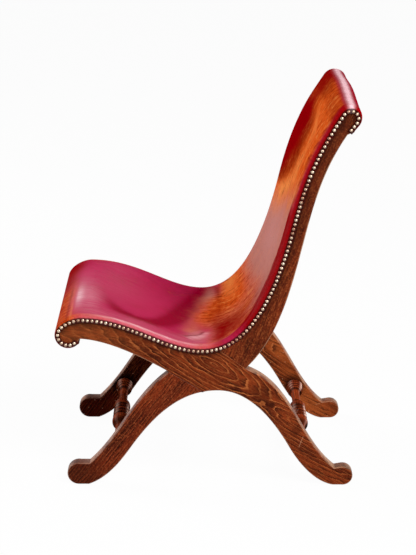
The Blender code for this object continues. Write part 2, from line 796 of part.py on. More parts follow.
def add_crest_rail():
    """A round rail, bowed up in the middle, with round tenons; returns the mortise cutters."""
    shoulder = HALF_OPENING - FIT_GAP
    tip = shoulder + TENON_LENGTH
    half = [(share * HALF_OPENING, 1.0) for share in SPAN_SHARES[:-1]]
    half += [(shoulder - CREST_SHOULDER, 1.0), (shoulder, 1.0)]
    thin = CREST_TENON_RADIUS / CREST_RADIUS
    half += [(shoulder + FIT_GAP / 10, thin), (tip, thin)]
    stations = [(-x, share) for x, share in half[:0:-1]] + half
    curve = bpy.data.curves.new("crest_rail", "CURVE")
    curve.dimensions = "3D"
    curve.bevel_depth = CREST_RADIUS - FIT_GAP
    curve.bevel_resolution = 4
    curve.use_fill_caps = True
    curve.twist_mode = "Z_UP"
    spline = curve.splines.new("POLY")
    spline.points.add(len(stations) - 1)
    for point, (x, share) in zip(spline.points, stations):
        level = abs(x) >= shoulder - CREST_SHOULDER
        rise = 0 if level else float(bow(np.array(x), np.array(CREST_CENTRE[1])))
        point.co = (x, CREST_CENTRE[0], CREST_CENTRE[1] + rise, 1)
        point.radius = share
    add_object("crest_rail", curve, OAK)
    return round_mortises("crest", CREST_TENON_RADIUS, CREST_CENTRE)


def stretcher_profile():
    """(radius, distance from the middle) down one half of the turning, from the middle to the tip."""
    shoulder = HALF_OPENING - FIT_GAP
    collar = shoulder - COLLAR_LENGTH
    ring = collar - COLLAR_RING_LENGTH
    neck = shoulder - NECK_FROM_END
    bead = MIDDLE_BEAD_LENGTH
    softer = TURNING_SOFTNESS
    return [
        (MIDDLE_BEAD_RADIUS, 0),
        (MIDDLE_BEAD_RADIUS * softer, bead / 2 * softer),
        (MIDDLE_GROOVE_RADIUS, bead / 2),
        (MIDDLE_BEAD_RADIUS, bead),
        (MIDDLE_GROOVE_RADIUS, bead * 3 / 2),
        (BULB_RADIUS * softer, (bead * 3 / 2 + BULB_FROM_MIDDLE) / 2),
        (BULB_RADIUS, BULB_FROM_MIDDLE),
        ((BULB_RADIUS + BULB_RING_RADIUS) / 2, (BULB_FROM_MIDDLE + BULB_RING_FROM_MIDDLE) / 2),
        (BULB_RING_RADIUS * softer, BULB_RING_FROM_MIDDLE),
        (NECK_RADIUS, neck),
        ((NECK_RADIUS + COLLAR_RING_RADIUS) / 2 * softer, (neck + ring) / 2),
        (COLLAR_RING_RADIUS, ring),
        (COLLAR_RING_RADIUS, collar),
        (COLLAR_RADIUS, collar + COLLAR_LENGTH / 4),
        (COLLAR_RADIUS, shoulder),
        (TENON_RADIUS, shoulder),
        (TENON_RADIUS, shoulder + TENON_LENGTH),
        (0, shoulder + TENON_LENGTH),
    ]


def add_stretcher(name, point):
    """A turned stretcher across the chair; returns the mortise cutters."""
    half = stretcher_profile()
    profile = [(r, d) for r, d in half[::-1]] + [(r, -d) for r, d in half[1:]]
    mesh = bpy.data.meshes.new(name)
    edges = [(i, i + 1) for i in range(len(profile) - 1)]
    mesh.from_pydata([(r, 0, d) for r, d in profile], edges, [])
    obj = add_object(name, mesh, OAK, (0, *point), (0, math.pi / 2, 0))
    screw = obj.modifiers.new("turning", "SCREW")
    screw.steps = TURNING_STEPS
    screw.render_steps = TURNING_STEPS
    screw.use_merge_vertices = True
    screw.merge_threshold = MERGE_DISTANCE
    screw.use_smooth_shade = True
    return round_mortises(name, TENON_RADIUS, point)


def add_side_frames(cutters):
    """Seat rail with rear leg, back upright and front leg of each side, dowelled together."""
    for side, sign in SIDES.items():
        x = sign * BOARD_X
        upright_holes = joint_dowels(f"{side}_upright", UPRIGHT_JOINT, x)
        leg_holes = joint_dowels(f"{side}_leg", LEG_JOINT, x)
        rail_cuts = upright_holes + leg_holes + cutters["front_rail"][side]
        rail_cuts += cutters["crook"][side] + cutters["rear_stretcher"][side]
        boards = (
            ("seat_rail_and_rear_leg", seat_rail_outline(), rail_cuts),
            ("back_upright", back_upright_outline(), upright_holes + cutters["crest"][side]),
            ("front_leg", front_leg_outline(), leg_holes + cutters["front_stretcher"][side]),
        )
        for name, outline, holes in boards:
            board = side_plate(f"{side}_{name}", outline, BOARD_THICKNESS, x, OAK)
            chamfer(board)
            cut(board, holes)


# Upholstery


def span_end(pad):
    """Where the flat span of the cover ends and its edge roll begins, for a stuffed height."""
    share = np.clip(pad / FULL_ROLL_PAD, 0, 1)
    return HALF_WIDTH - (CORNER_WIDTH + (ROLL_WIDTH - CORNER_WIDTH) * share)


def cover_section(distance):
    """Inner face of the cover: x and height over the wood, one row for each distance."""
    pad = pad_height(distance)
    dish = dish_depth(distance)
    end = span_end(pad)
    outer = HALF_WIDTH + FIT_GAP
    frame_x = np.tile(np.array(SPAN_SHARES) * HALF_OPENING, (len(pad), 1))
    span_x = np.column_stack([frame_x, end])
    hollow = (1 - (span_x / end[:, None]) ** 2) ** DISH_POWER
    span_height = pad[:, None] - dish[:, None] * hollow
    angle = math.radians(ROLL_ANGLE)
    roll_x = end + (outer - end) * math.sin(angle)
    roll_height = pad * math.cos(angle)
    edge = np.full_like(pad, outer)
    x = np.column_stack([span_x, roll_x, edge, edge])
    side = np.zeros_like(pad)
    height = np.column_stack([span_height, roll_height, side, side - FLAP_LENGTH])
    return np.hstack([-x[:, :0:-1], x]), np.hstack([height[:, :0:-1], height])


def add_leather_cover():
    x, height = cover_section(RAIL_S)
    points = on_rail(RAIL_S, x, height)
    sheet("leather_cover", points, LEATHER_THICKNESS, 1, LEATHER)


def sling_columns(bearing):
    """x of the corners across a layer that lies on the side frames by this much."""
    inner = np.array(SPAN_SHARES) * HALF_OPENING
    half = np.concatenate([inner, [HALF_OPENING + bearing]])
    return np.concatenate([-half[:0:-1], half])


def sling_height(distance, x, base):
    """Height of a layer that rests on the frames and sags between them."""
    sag = np.where((distance >= S_SLING_START) & (distance <= S_SLING_END), WEB_SAG, 0)
    across = np.clip(1 - (x / HALF_OPENING) ** 2, 0, None)
    return base - sag[:, None] * across


def add_webbing():
    x = sling_columns(STRAP_BEARING)
    first = S_SLING_START + STRAP_WIDTH / 2
    last = S_SLING_END - STRAP_WIDTH / 2
    for number, middle in enumerate(np.linspace(first, last, STRAP_COUNT), 1):
        distance = rail_slice(middle - STRAP_WIDTH / 2, middle + STRAP_WIDTH / 2)
        points = on_rail(distance, x, sling_height(distance, x, STRAP_BASE))
        sheet(f"webbing_strap_{number:02d}", points, STRAP_THICKNESS, 1, JUTE)


def add_hessian():
    x = sling_columns(HESSIAN_BEARING)
    distance = rail_slice(S_SLING_START, S_SLING_END)
    points = on_rail(distance, x, sling_height(distance, x, HESSIAN_BASE))
    sheet("hessian_cloth", points, HESSIAN_THICKNESS, 1, HESSIAN)


def cover_height(distance, x):
    """Inner face of the cover at given x, read from its facets."""
    cover_x, height = cover_section(distance)
    return np.array([np.interp(x, cx, h) for cx, h in zip(cover_x, height)])


def add_stuffing(name, start, end):
    """Hair stuffing that fills the space between the hessian and the cover."""
    x = sling_columns(STUFFING_BEARING)
    distance = rail_slice(start, end)
    ramp = (
        (S_FRONT_RAIL - STUFFING_START, FIT_GAP),
        (S_FRONT_RAIL, STUFFING_BASE),
        (S_SLING_END, STUFFING_BASE),
        (S_STUFFING_STEP, FIT_GAP),
    )
    base = ease_between(distance, ramp)[:, None]
    under = on_rail(distance, x, sling_height(distance, x, base))
    over = on_rail(distance, x, cover_height(distance, x) - FIT_GAP)
    loft(name, np.concatenate([under, over[:, ::-1]], axis=1), HAIR)


def depth_distance(depth, y):
    """Distance whose point, this deep under the sitting line, lies at y near the crook."""
    near = slice(FIRST_SEAT + 1, FIRST_BACK)
    under_y = (LINE[:, 0] - normals(LINE)[:, 0] * depth)[near]
    return float(np.interp(y, under_y, LINE_S[near]))


def add_closing_sheet(name, depth, thickness, start, end, material):
    """A sheet between the side frames, at a fixed depth under the sitting line."""
    distance = rail_slice(start, end)
    x = np.array([-1, 1]) * (HALF_OPENING - FIT_GAP)
    points = on_rail(distance, x, np.full((len(distance), 2), -depth))
    sheet(name, points, thickness, -1, material)


def add_closing_sheets():
    behind = SEAT_LOW[0] + CROOK_RAIL_THICKNESS / 2 + 2 * FIT_GAP
    before = SEAT_LOW[0] - CROOK_RAIL_THICKNESS / 2 - 2 * FIT_GAP
    back_start = depth_distance(BACK_PANEL_DEPTH, behind)
    back_end = S_CREST - BACK_PANEL_TOP_CLEARANCE
    add_closing_sheet(
        "back_panel", BACK_PANEL_DEPTH, BACK_PANEL_THICKNESS, back_start, back_end, LEATHER
    )
    dust_start = S_FRONT_RAIL + 2 * FIT_GAP
    dust_end = depth_distance(DUST_COVER_DEPTH, before)
    add_closing_sheet(
        "dust_cover", DUST_COVER_DEPTH, DUST_COVER_THICKNESS, dust_start, dust_end, LINEN
    )


# Nails


def nail_rings(count):
    """Half widths and heights along a row of linked nail heads."""
    head = np.arange(2 * count + 1) % 2 == 1
    width = np.where(head, NAIL_RADIUS, NAIL_LINK_RADIUS)
    return width, np.where(head, NAIL_HEIGHT, NAIL_LINK_HEIGHT)


def add_nail_row(name, centres, across, out):
    """Domed heads on a thin link, along centres on a surface; across and out are its directions."""
    width, height = nail_rings(len(centres) // 2)
    section = ((-1, 0), (1, 0), (NAIL_TOP_SHARE, 1), (-NAIL_TOP_SHARE, 1))
    rings = []
    for side, rise in section:
        rings.append(centres + across * (side * width)[:, None] + out * (rise * height)[:, None])
    loft(name, np.stack(rings, axis=1), BRASS)


def add_side_nails():
    """One row along each side, a fixed inset below the sitting line."""
    fine = sitting_line(FINE_FACTOR)
    out = normals(fine)
    line = fine[:, :2] - out * NAIL_INSET
    along = lengths_along(line)
    count = int((along[-1] - 2 * NAIL_END_MARGIN) / NAIL_PITCH)
    start = (along[-1] - count * NAIL_PITCH) / 2
    at = start + np.arange(2 * count + 1) * NAIL_PITCH / 2
    point = np.stack([np.interp(at, along, line[:, i]) for i in range(2)], axis=1)
    normal = np.stack([np.interp(at, along, out[:, i]) for i in range(2)], axis=1)
    normal /= np.linalg.norm(normal, axis=1, keepdims=True)
    across = np.column_stack([np.zeros(len(at)), normal])
    surface = HALF_WIDTH + LEATHER_THICKNESS + 2 * FIT_GAP
    for side, sign in SIDES.items():
        centres = np.column_stack([np.full(len(at), sign * surface), point])
        facing = np.tile([sign * 1.0, 0, 0], (len(at), 1))
        add_nail_row(f"{side}_nail_row", centres, across, facing)


def add_cross_nails(name, distance):
    """A row across the chair, on the cover near one of its ends."""
    count = int(2 * (HALF_WIDTH - NAIL_END_MARGIN) / NAIL_PITCH)
    x = (np.arange(2 * count + 1) - count) * NAIL_PITCH / 2
    station = np.array([distance])
    row = rail_at(station)
    cover_x, height = cover_section(station)
    lift = LEATHER_THICKNESS + 2 * FIT_GAP
    corners = on_rail(station, cover_x, height + lift)[0]
    flat = slice(2, -2)
    centres = np.column_stack(
        [x] + [np.interp(x, corners[flat, 0], corners[flat, i]) for i in (1, 2)]
    )
    across = np.tile([0, *row[0, 2:]], (len(x), 1))
    facing = np.tile([0, *normals(row)[0]], (len(x), 1))
    add_nail_row(name, centres, across, facing)


clear_scene()
PARTS = new_collection("slipper_chair")
CUTTERS = new_collection("cutters")
OAK = new_material("stained_oak", (0.17, 0.062, 0.022), 0.38)
OAK_PEG = new_material("oak_peg", (0.42, 0.25, 0.12), 0.6)
LEATHER = new_material("crimson_leather", (0.42, 0.012, 0.035), 0.32)
BRASS = new_material("antique_brass", (0.62, 0.50, 0.33), 0.35, 1.0)
JUTE = new_material("jute_webbing", (0.36, 0.25, 0.13), 0.9)
HESSIAN = new_material("hessian", (0.40, 0.29, 0.16), 0.95)
HAIR = new_material("curled_hair", (0.10, 0.07, 0.05), 0.95)
LINEN = new_material("black_linen", (0.02, 0.018, 0.016), 0.9)

MORTISES = {
    "front_rail": add_front_rail(),
    "crook": add_crook_rail(),
    "crest": add_crest_rail(),
    "front_stretcher": add_stretcher("front_stretcher", FRONT_STRETCHER),
    "rear_stretcher": add_stretcher("rear_stretcher", REAR_STRETCHER),
}
add_side_frames(MORTISES)
add_webbing()
add_hessian()
add_stuffing("seat_stuffing", S_CROWN - STUFFING_START, S_LOW - FIT_GAP)
add_stuffing("back_stuffing", S_LOW + FIT_GAP, S_STUFFING_END)
add_leather_cover()
add_closing_sheets()
add_side_nails()
add_cross_nails("front_nail_row", CROSS_NAIL_FROM_EDGE)
add_cross_nails("crest_nail_row", S_END - CROSS_NAIL_FROM_EDGE)
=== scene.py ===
import math
import bpy
import numpy as np
from mathutils import Matrix


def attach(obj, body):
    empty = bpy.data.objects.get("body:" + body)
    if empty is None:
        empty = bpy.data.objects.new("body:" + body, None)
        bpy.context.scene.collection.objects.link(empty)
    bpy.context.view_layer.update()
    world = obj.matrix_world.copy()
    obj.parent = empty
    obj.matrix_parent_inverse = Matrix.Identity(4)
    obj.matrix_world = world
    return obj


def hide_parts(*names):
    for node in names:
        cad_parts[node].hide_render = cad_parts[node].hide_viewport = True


# The chair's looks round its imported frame: metres, +Z up, facing -Y, its left at +X (the near side)
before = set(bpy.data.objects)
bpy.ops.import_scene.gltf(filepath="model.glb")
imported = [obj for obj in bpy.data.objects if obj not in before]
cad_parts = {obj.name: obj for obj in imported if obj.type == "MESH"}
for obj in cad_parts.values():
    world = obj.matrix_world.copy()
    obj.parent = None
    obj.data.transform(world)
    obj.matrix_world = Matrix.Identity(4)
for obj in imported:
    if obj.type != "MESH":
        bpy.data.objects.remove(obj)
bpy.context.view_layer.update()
scene = bpy.context.scene
print("frame:", len(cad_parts), "nodes")


# Curves seen from the side, as rows of (y, z)

def heading(angle):  # unit vector at an angle in degrees
    return np.array([math.cos(math.radians(angle)), math.sin(math.radians(angle))])


def cubicRun(start, startAngle, end, endAngle, ease, count=60):
    # Hermite cubic between two points, leaving and arriving in given directions; the end is left out
    start, end = np.array(start), np.array(end)
    span = np.linalg.norm(end - start)
    leave, arrive = heading(startAngle) * span * ease[0], heading(endAngle) * span * ease[1]
    t = (np.arange(count) / count)[:, None]
    return ((2 * t**3 - 3 * t**2 + 1) * start + (t**3 - 2 * t**2 + t) * leave
            + (3 * t**2 - 2 * t**3) * end + (t**3 - t**2) * arrive)


def arcRun(centre, radius, first, last, count=40):  # part of a circle, both ends included
    angle = np.radians(np.linspace(first, last, count + 1))
    return np.array(centre) + radius * np.stack([np.cos(angle), np.sin(angle)], axis=1)


def straightRun(start, end, count=12):  # even points of a straight line, the end left out
    return np.array(start) + np.outer(np.arange(count) / count, np.array(end) - np.array(start))


def lengthsOf(path):  # distance along a path at each of its points
    return np.concatenate([[0], np.cumsum(np.linalg.norm(np.diff(path, axis=0), axis=1))])


def outwardOf(path):  # unit vectors square to a path, on its left
    step = np.gradient(path, axis=0)
    return np.stack([-step[:, 1], step[:, 0]], axis=1) / np.linalg.norm(step, axis=1, keepdims=True)


def smoothStep(value, low, high):  # 0 below low, 1 above high, 3t^2 - 2t^3 between
    t = np.clip((value - low) / (high - low), 0, 1)
    return t * t * (3 - 2 * t)


def easeKeys(at, keys):  # smooth steps from key to key
    value = np.full_like(at, keys[0][1])
    for (low, before), (high, after) in zip(keys, keys[1:]):
        value = value + (after - before) * smoothStep(at, low, high)
    return value


# Side frame: points as (y, z), angles in degrees; an ease is how firmly a curve keeps its end angles
side = {
    "halfWidth": 0.220, "halfOpening": 0.192, "gap": 0.0003,
    "scroll": (-0.2946, 0.3432), "scrollRadius": 0.026, "scrollTip": -35.0,
    "crown": (-0.267, 0.382), "frontEase": (1.09, 0.86),
    "low": (-0.008, 0.313), "seatEase": (1.21, 0.91),
    "waist": (0.183, 0.594), "waistAngle": 76.6, "crookEase": (0.98, 1.11),
    "crest": (0.298, 0.8165), "crestRadius": 0.0205, "crestStart": 57.0, "crestEnd": -129.0,
    "backEase": (1.0, 1.2), "crestTail": 0.024,
    "scrollNotch": (-0.270, 0.335), "scrollNotchAngle": -2.7, "railEase": (0.84, 0.95),
    "crossingY": -0.004, "crossingAngle": -31.7, "legTopY": -0.078, "frontRailDepth": 0.058,
    "sole": 0.022, "frontSoleAngle": 20.1, "frontShinEase": (1.08, 0.91),
    "frontShin": (-0.1625, 0.0855), "frontShinAngle": 55.6, "frontArchEase": (1.17, 1.06),
    "archTop": (0.0272, 0.2185), "rearArchEase": (0.87, 1.38),
    "rearShin": (0.1824, 0.0897), "rearShinAngle": -60.4, "rearShinEase": (0.61, 1.08), "rearSoleAngle": -9.6,
    "frontFoot": -0.276, "frontFootRadius": 0.025, "frontFootTop": 80.0,
    "frontNotch": (-0.252, 0.0495), "frontNotchAngle": 42.6, "frontLegEase": (1.0, 1.05), "legTopAngle": 36.0,
    "rearFoot": 0.302, "rearFootRadius": 0.0215, "rearFootTop": 100.0,
    "rearNotch": (0.283, 0.040), "rearNotchAngle": -38.5, "rearLegEase": (1.09, 0.99), "rearLegTop": -18.5,
    "jointFrontY": 0.021, "jointRear": (0.086, 0.269), "heelAngle": 43.1, "lowerEase": (0.96, 0.95),
    "uprightWaist": (0.2054, 0.5492), "uprightWaistAngle": 76.7, "upperEase": (1.07, 1.08),
    "uprightTop": (0.2921, 0.782), "uprightTopAngle": 56.8,
    "bowRise": 0.008, "bowFrom": 0.62, "bowTo": 0.775,
}

# The sitting line is the frame's upper edge, from the tip of the front scroll to the crest's tail
crestArc = arcRun(side["crest"], side["crestRadius"], side["crestStart"] + 90, side["crestEnd"] + 90, 60)
scrollArc = arcRun(side["scroll"], side["scrollRadius"], side["scrollTip"], -180, 60)
lineRuns = [
    scrollArc[:-1],
    cubicRun(scrollArc[-1], 90, side["crown"], 0, side["frontEase"], 80),
    cubicRun(side["crown"], 0, side["low"], 0, side["seatEase"], 180),
    cubicRun(side["low"], 0, side["waist"], side["waistAngle"], side["crookEase"], 220),
    cubicRun(side["waist"], side["waistAngle"], crestArc[0], side["crestStart"], side["backEase"], 160),
    crestArc[:-1],
    crestArc[-1] + np.outer(np.linspace(0, side["crestTail"], 20), heading(side["crestEnd"])),
]
line = np.vstack(lineRuns)
lineS, lineOut = lengthsOf(line), outwardOf(line)
runStart = np.cumsum([0] + [len(run) for run in lineRuns])
sFront, sCrown, sLow, sWaist, sCrest = lineS[runStart[1:6]]
sEnd = lineS[-1]


def lineWhere(column, value, first, last):  # distance along the sitting line where y or z has a value
    rows = slice(runStart[first], runStart[last])
    return float(np.interp(value, line[rows, column], lineS[rows]))


frontRailBack = side["scroll"][0] - side["scrollRadius"] + side["frontRailDepth"]
sFrontRail = lineWhere(0, frontRailBack, 1, 3)
sJoint = lineWhere(0, side["jointFrontY"], 3, 4)


def lineAt(s):  # points and outward directions of the sitting line
    point = np.stack([np.interp(s, lineS, line[:, i]) for i in range(2)], axis=-1)
    out = np.stack([np.interp(s, lineS, lineOut[:, i]) for i in range(2)], axis=-1)
    return point, out / np.linalg.norm(out, axis=-1, keepdims=True)


def bowAt(x, z):  # rise of the crest towards the chair's middle: half a cosine wave across
    across = np.clip(np.abs(x) / side["halfOpening"], 0, 1)
    return side["bowRise"] * smoothStep(z, side["bowFrom"], side["bowTo"]) * (1 + np.cos(np.pi * across)) / 2


def onLine(s, x, height):  # grid of points at a height over the sitting line, a row for each s
    point, out = lineAt(s)
    y = point[:, :1] + out[:, :1] * height
    x = np.broadcast_to(x, y.shape)
    return np.stack([x, y, point[:, 1:] + out[:, 1:] * height + bowAt(x, point[:, 1:])], axis=-1)


# Shaders: a Finish holds one material, a Wire is a socket of it that takes part in arithmetic

class Wire:
    def __init__(self, finish, socket):
        self.finish, self.socket = finish, socket

    def math(self, operation, *values):
        inputs = dict(enumerate((self,) + values))
        return self.finish.node("Math", {"operation": operation}, inputs)

    def twin(self, output):  # another output of the same node
        return Wire(self.finish, self.socket.node.outputs[output])

    def __add__(self, other):
        return self.math("ADD", other)

    def __mul__(self, other):
        return self.math("MULTIPLY", other)

    def __sub__(self, other):
        return self.math("SUBTRACT", other)

    def __truediv__(self, other):
        return self.math("DIVIDE", other)

    def __pow__(self, other):
        return self.math("POWER", other)

    def __rsub__(self, other):
        return self * -1.0 + other

    def __rtruediv__(self, other):
        return self ** -1.0 * other

    __radd__, __rmul__ = __add__, __mul__


class Finish:
    def __init__(self, name):
        self.material = bpy.data.materials.new(name)
        self.material.use_nodes = True
        self.tree = self.material.node_tree
        self.shader = self.tree.nodes["Principled BSDF"]

    def feed(self, socket, value):
        if isinstance(value, Wire):
            self.tree.links.new(value.socket, socket)
        else:
            socket.default_value = value

    def node(self, kind, settings=None, sockets=None, output=0):  # any node: type, settings, socket values
        made = self.tree.nodes.new("ShaderNode" + kind)
        for key, value in (settings or {}).items():
            setattr(made, key, value)
        for key, value in (sockets or {}).items():
            self.feed(made.inputs[key], value)
        return Wire(self, made.outputs[output])

    def mix(self, share, first, second, blend="MIX"):  # colours mixed by a share
        settings = {"data_type": "RGBA", "blend_type": blend}
        return self.node("Mix", settings, {0: share, 6: first, 7: second}, 2)

    def band(self, value, low, high):  # smooth step from 0 at low to 1 at high
        sockets = {"Value": value, "From Min": low, "From Max": high}
        return self.node("MapRange", {"interpolation_type": "SMOOTHSTEP"}, sockets)

    def stretch(self, place, factors):  # a place scaled along its three axes
        return self.node("VectorMath", {"operation": "MULTIPLY"}, {0: place, 1: factors})

    def noise(self, place, scale, detail=3.0, rough=0.5):
        sockets = {"Vector": place, "Scale": scale, "Detail": detail, "Roughness": rough}
        return self.node("TexNoise", None, sockets)

    def curve(self, value, points):  # a smooth curve through points, read at a value
        read = self.node("FloatCurve", None, {"Value": value})
        mapping = read.socket.node.mapping
        mapping.use_clip = False
        knots = mapping.curves[0].points
        knots[0].location, knots[1].location = points[0], points[-1]
        for point in points[1:-1]:
            knots.new(*point)
        mapping.update()
        return read

    def mark(self, name):  # a value stored on the mesh's points
        return self.node("Attribute", {"attribute_name": name}, None, "Fac")

    def flat(self):  # place on a sheet's flat cut, in metres across and along
        return self.node("UVMap", {"uv_map": "flat"})

    def bump(self, height, distance, strength=1.0):
        return self.node("Bump", None, {"Strength": strength, "Distance": distance, "Height": height})

    def surface(self, **sockets):
        names = {"colour": "Base Color", "roughness": "Roughness", "metallic": "Metallic", "normal": "Normal",
                 "coat": "Coat Weight", "coatRough": "Coat Roughness", "gloss": "Specular IOR Level"}
        for key, value in sockets.items():
            self.feed(self.shader.inputs[names[key]], value)
        return self.material


def tone(red, green, blue):  # a colour of 0 to 255 as a colour picker shows it, in linear light
    share = np.array([red, green, blue]) / 255
    linear = np.where(share <= 0.04045, share / 12.92, ((share + 0.055) / 1.055) ** 2.4)
    return (*linear.tolist(), 1.0)


# Meshes

def cells(rows, columns, loop=False):
    # corner numbers of each cell of a grid, row by row; a loop joins the last column to the first
    number = np.arange(rows * columns).reshape(rows, columns)
    if loop:
        number = np.hstack([number, number[:, :1]])
    corners = [number[:-1, :-1], number[:-1, 1:], number[1:, 1:], number[1:, :-1]]
    return np.stack(corners, axis=-1).reshape(-1, 4)


def makePiece(name, points, faces, material, nodes, flat=None, flatFaces=0, marks=None):
    # one object; flat holds metres across and along for each point, marks hold a value for each point,
    # and the last flatFaces faces are not shaded smooth
    mesh = bpy.data.meshes.new(name)
    mesh.from_pydata(points.reshape(-1, 3).tolist(), [], faces)
    smooth = np.ones(len(mesh.polygons), dtype=bool)
    smooth[len(smooth) - flatFaces:] = False
    mesh.polygons.foreach_set("use_smooth", smooth)
    if flat is not None:
        corner = np.empty(len(mesh.loops), dtype=np.int32)
        mesh.loops.foreach_get("vertex_index", corner)
        layer = mesh.uv_layers.new(name="flat")
        layer.data.foreach_set("uv", flat.reshape(-1, 2)[corner].astype(np.float32).ravel())
    for key, value in (marks or {}).items():
        attribute = mesh.attributes.new(key, "FLOAT", "POINT")
        attribute.data.foreach_set("value", np.asarray(value, dtype=np.float32).ravel())
    mesh.materials.append(material)
    mesh.update()
    piece = bpy.data.objects.new(name, mesh)
    scene.collection.objects.link(piece)
    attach(piece, "root")
    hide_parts(*nodes)
    return piece


def thicken(piece, thickness, offset=1.0):
    solid = piece.modifiers.new("thickness", "SOLIDIFY")
    solid.thickness, solid.offset = thickness, offset


def tubeFaces(rows, columns):  # closed tube of rings with a flat cap at both ends
    last = (rows - 1) * columns + np.arange(columns)
    return cells(rows, columns, True).tolist() + [np.arange(columns)[::-1].tolist(), last.tolist()]


# Wood

# the pale wear tone also paints highlights on rounded edges, on edge faces that look up and along the rings of turnings
woodTones = {
    "light": (134, 54, 21), "middle": (98, 35, 13), "dark": (38, 10, 4), "pale": (180, 100, 51),
    "wornAndHighlight": (212, 160, 122), "roughness": 0.46, "gloss": 0.03, "polish": 0.36, "coatRoughness": 0.22,
    "rubAndHighlight": 0.55, "speckle": 0.32,
}


def woodFinish(name, look):
    made = Finish(name)
    tones = {**woodTones, **look}
    place = made.node("TexCoord", output="Object")
    x = made.node("SeparateXYZ", None, {0: place})
    y, z = x.twin(1), x.twin(2)
    if look["grain"] == "across":  # a turned or sawn piece that lies across the chair
        along, over, depth = x, y, z
    else:
        turn = heading(look["grain"])
        front = y.math("MINIMUM", 0.0)  # towards the front scroll the grain bends level
        along, over = y * turn[0] + z * turn[1], z * turn[0] - y * turn[1] + front * front * look.get("bend", 0.0)
        depth = x.math("ABSOLUTE") - side["halfWidth"]
    grain = made.node("CombineXYZ", None, {0: along, 1: over, 2: depth})
    wander = made.noise(made.stretch(grain, (5.0, 24.0, 24.0)), 1.0, 2.0) - 0.5
    ripple = made.noise(made.stretch(grain, (22.0, 75.0, 75.0)), 1.0, 3.0) - 0.5
    rings = over / look["spacing"] + depth * (0.35 / look["spacing"]) + wander * look["wander"] + ripple * 0.9
    lines = look["lines"]
    for eyeY, eyeZ, slimness, shift, share in look.get("eyes", ()):
        # rings round an eye: root of (along * slimness)^2 + over^2, in ring spacings
        eye = (eyeY * turn[0] + eyeZ * turn[1], eyeZ * turn[0] - eyeY * turn[1])
        ahead = (along - eye[0]) * slimness
        aside = over - eye[1] + depth * 0.3 + wander * 0.016
        oval = (ahead * ahead + aside * aside) ** 0.5 / look["spacing"] + wander * 1.3 + ripple * 1.3 + shift
        rings = oval if shift == 0 else rings.math("SMOOTH_MIN", oval, 0.6)
        lines = (1.0 - made.band(oval - shift, 4.0, 11.0)) * share + lines
    ring = rings.math("FRACT")
    late = made.band(ring, 0.35, 1.0)  # each ring darkens slowly, then a thin pale line starts the next
    pale = made.band(ring, 0.0, 0.06) * (1.0 - made.band(ring, 0.10, 0.27))
    broad = made.noise(made.stretch(grain, (7.0, 26.0, 26.0)), 1.0, 4.0)
    faint = made.band(made.noise(made.stretch(grain, (22.0, 60.0, 60.0)), 1.0, 3.0), 0.34, 0.58)
    fleck = made.noise(made.stretch(grain, (42.0, 460.0, 460.0)), 1.0, 3.0)
    pores = made.band(made.noise(made.stretch(grain, (130.0, 1500.0, 1500.0)), 1.0, 2.0), 0.56, 0.66)
    dashes = made.noise(made.stretch(grain, (17.0, 230.0, 230.0)), 1.0, 3.0)
    colour = made.mix(made.band(broad, 0.32, 0.68), tone(*tones["middle"]), tone(*tones["light"]))
    colour = made.mix((1.0 - made.band(broad, 0.28, 0.46)) * look.get("patches", 0.6), colour, tone(*tones["dark"]))
    colour = made.mix(made.band(dashes, 0.50, 0.68) * look["fleck"], colour, tone(*tones["dark"]))
    colour = made.mix(late * faint * look["contrast"], colour, tone(*tones["dark"]))
    colour = made.mix(pale * (faint * 0.75 + 0.25) * lines, colour, tone(*tones["pale"]))
    colour = made.mix(made.band(fleck, 0.50, 0.68) * look["fleck"], colour, tone(*tones["dark"]))
    colour = made.mix((1.0 - made.band(fleck, 0.30, 0.46)) * look["fleck"] * 0.6, colour, tone(*tones["pale"]))
    colour = made.mix(pores * 0.35, colour, tone(*tones["dark"]))
    speckle = made.noise(place, 270.0, 2.0, 0.6)
    colour = made.mix(made.band(speckle, 0.54, 0.68) * tones["speckle"], colour, tone(*tones["pale"]))
    colour = made.mix((1.0 - made.band(speckle, 0.34, 0.46)) * tones["speckle"], colour, tone(*tones["dark"]))
    for spotY, spotZ, size, share in look.get("spots", ()):  # dark round patches: knots, and broader darker patches such as the one over the front foot
        ahead, aside = y - spotY, z - spotZ
        near = (ahead * ahead + aside * aside) ** 0.5 + wander * 0.004
        colour = made.mix((1.0 - made.band(near, size * 0.3, size)) * share, colour, tone(*tones["dark"]))
    for axis, low, high, key, share in look.get("tints", ()):  # slow change of tone along the board
        colour = made.mix(made.band(y if axis == "y" else z, low, high) * share, colour, tone(*tones[key]))
    if "collar" in look:  # painted contact shadow round a stretcher's end, on the board's inner face
        spotY, spotZ, size = look["collar"]
        ahead, aside = y - spotY, z - spotZ
        near = (ahead * ahead + aside * aside) ** 0.5 + wander * 0.004
        inside = 1.0 - made.band(depth, -0.024, -0.014)
        colour = made.mix((1.0 - made.band(near, size * 0.3, size)) * inside * 0.92, colour, tone(*tones["dark"]))
    if look.get("turned"):  # painted shade in the grooves and on the underside
        colour = made.mix(made.mark("groove") * 0.96, colour, tone(*tones["dark"]))
    if "nailed" in look:  # painted shade under the nails and the hide's edge, with old polish and dust, darkens the wood: depth below the sitting line
        below = made.curve(y, look["nailed"]) - z if look["grain"] < 0 else y - made.curve(z, look["nailed"])
        dustAndShade = 1.0 - made.band(below + wander * 0.02, 0.008, 0.026)
        colour = made.mix(dustAndShade * 0.46, colour, tone(*tones["dark"]))
        # a narrow painted shadow just under the hide's edge
        colour = made.mix((1.0 - made.band(below, 0.0100, 0.0150)) * 0.75, colour, tone(*tones["dark"]))
    for startY, startZ, endY, endZ, share in look.get("scratches", ()):
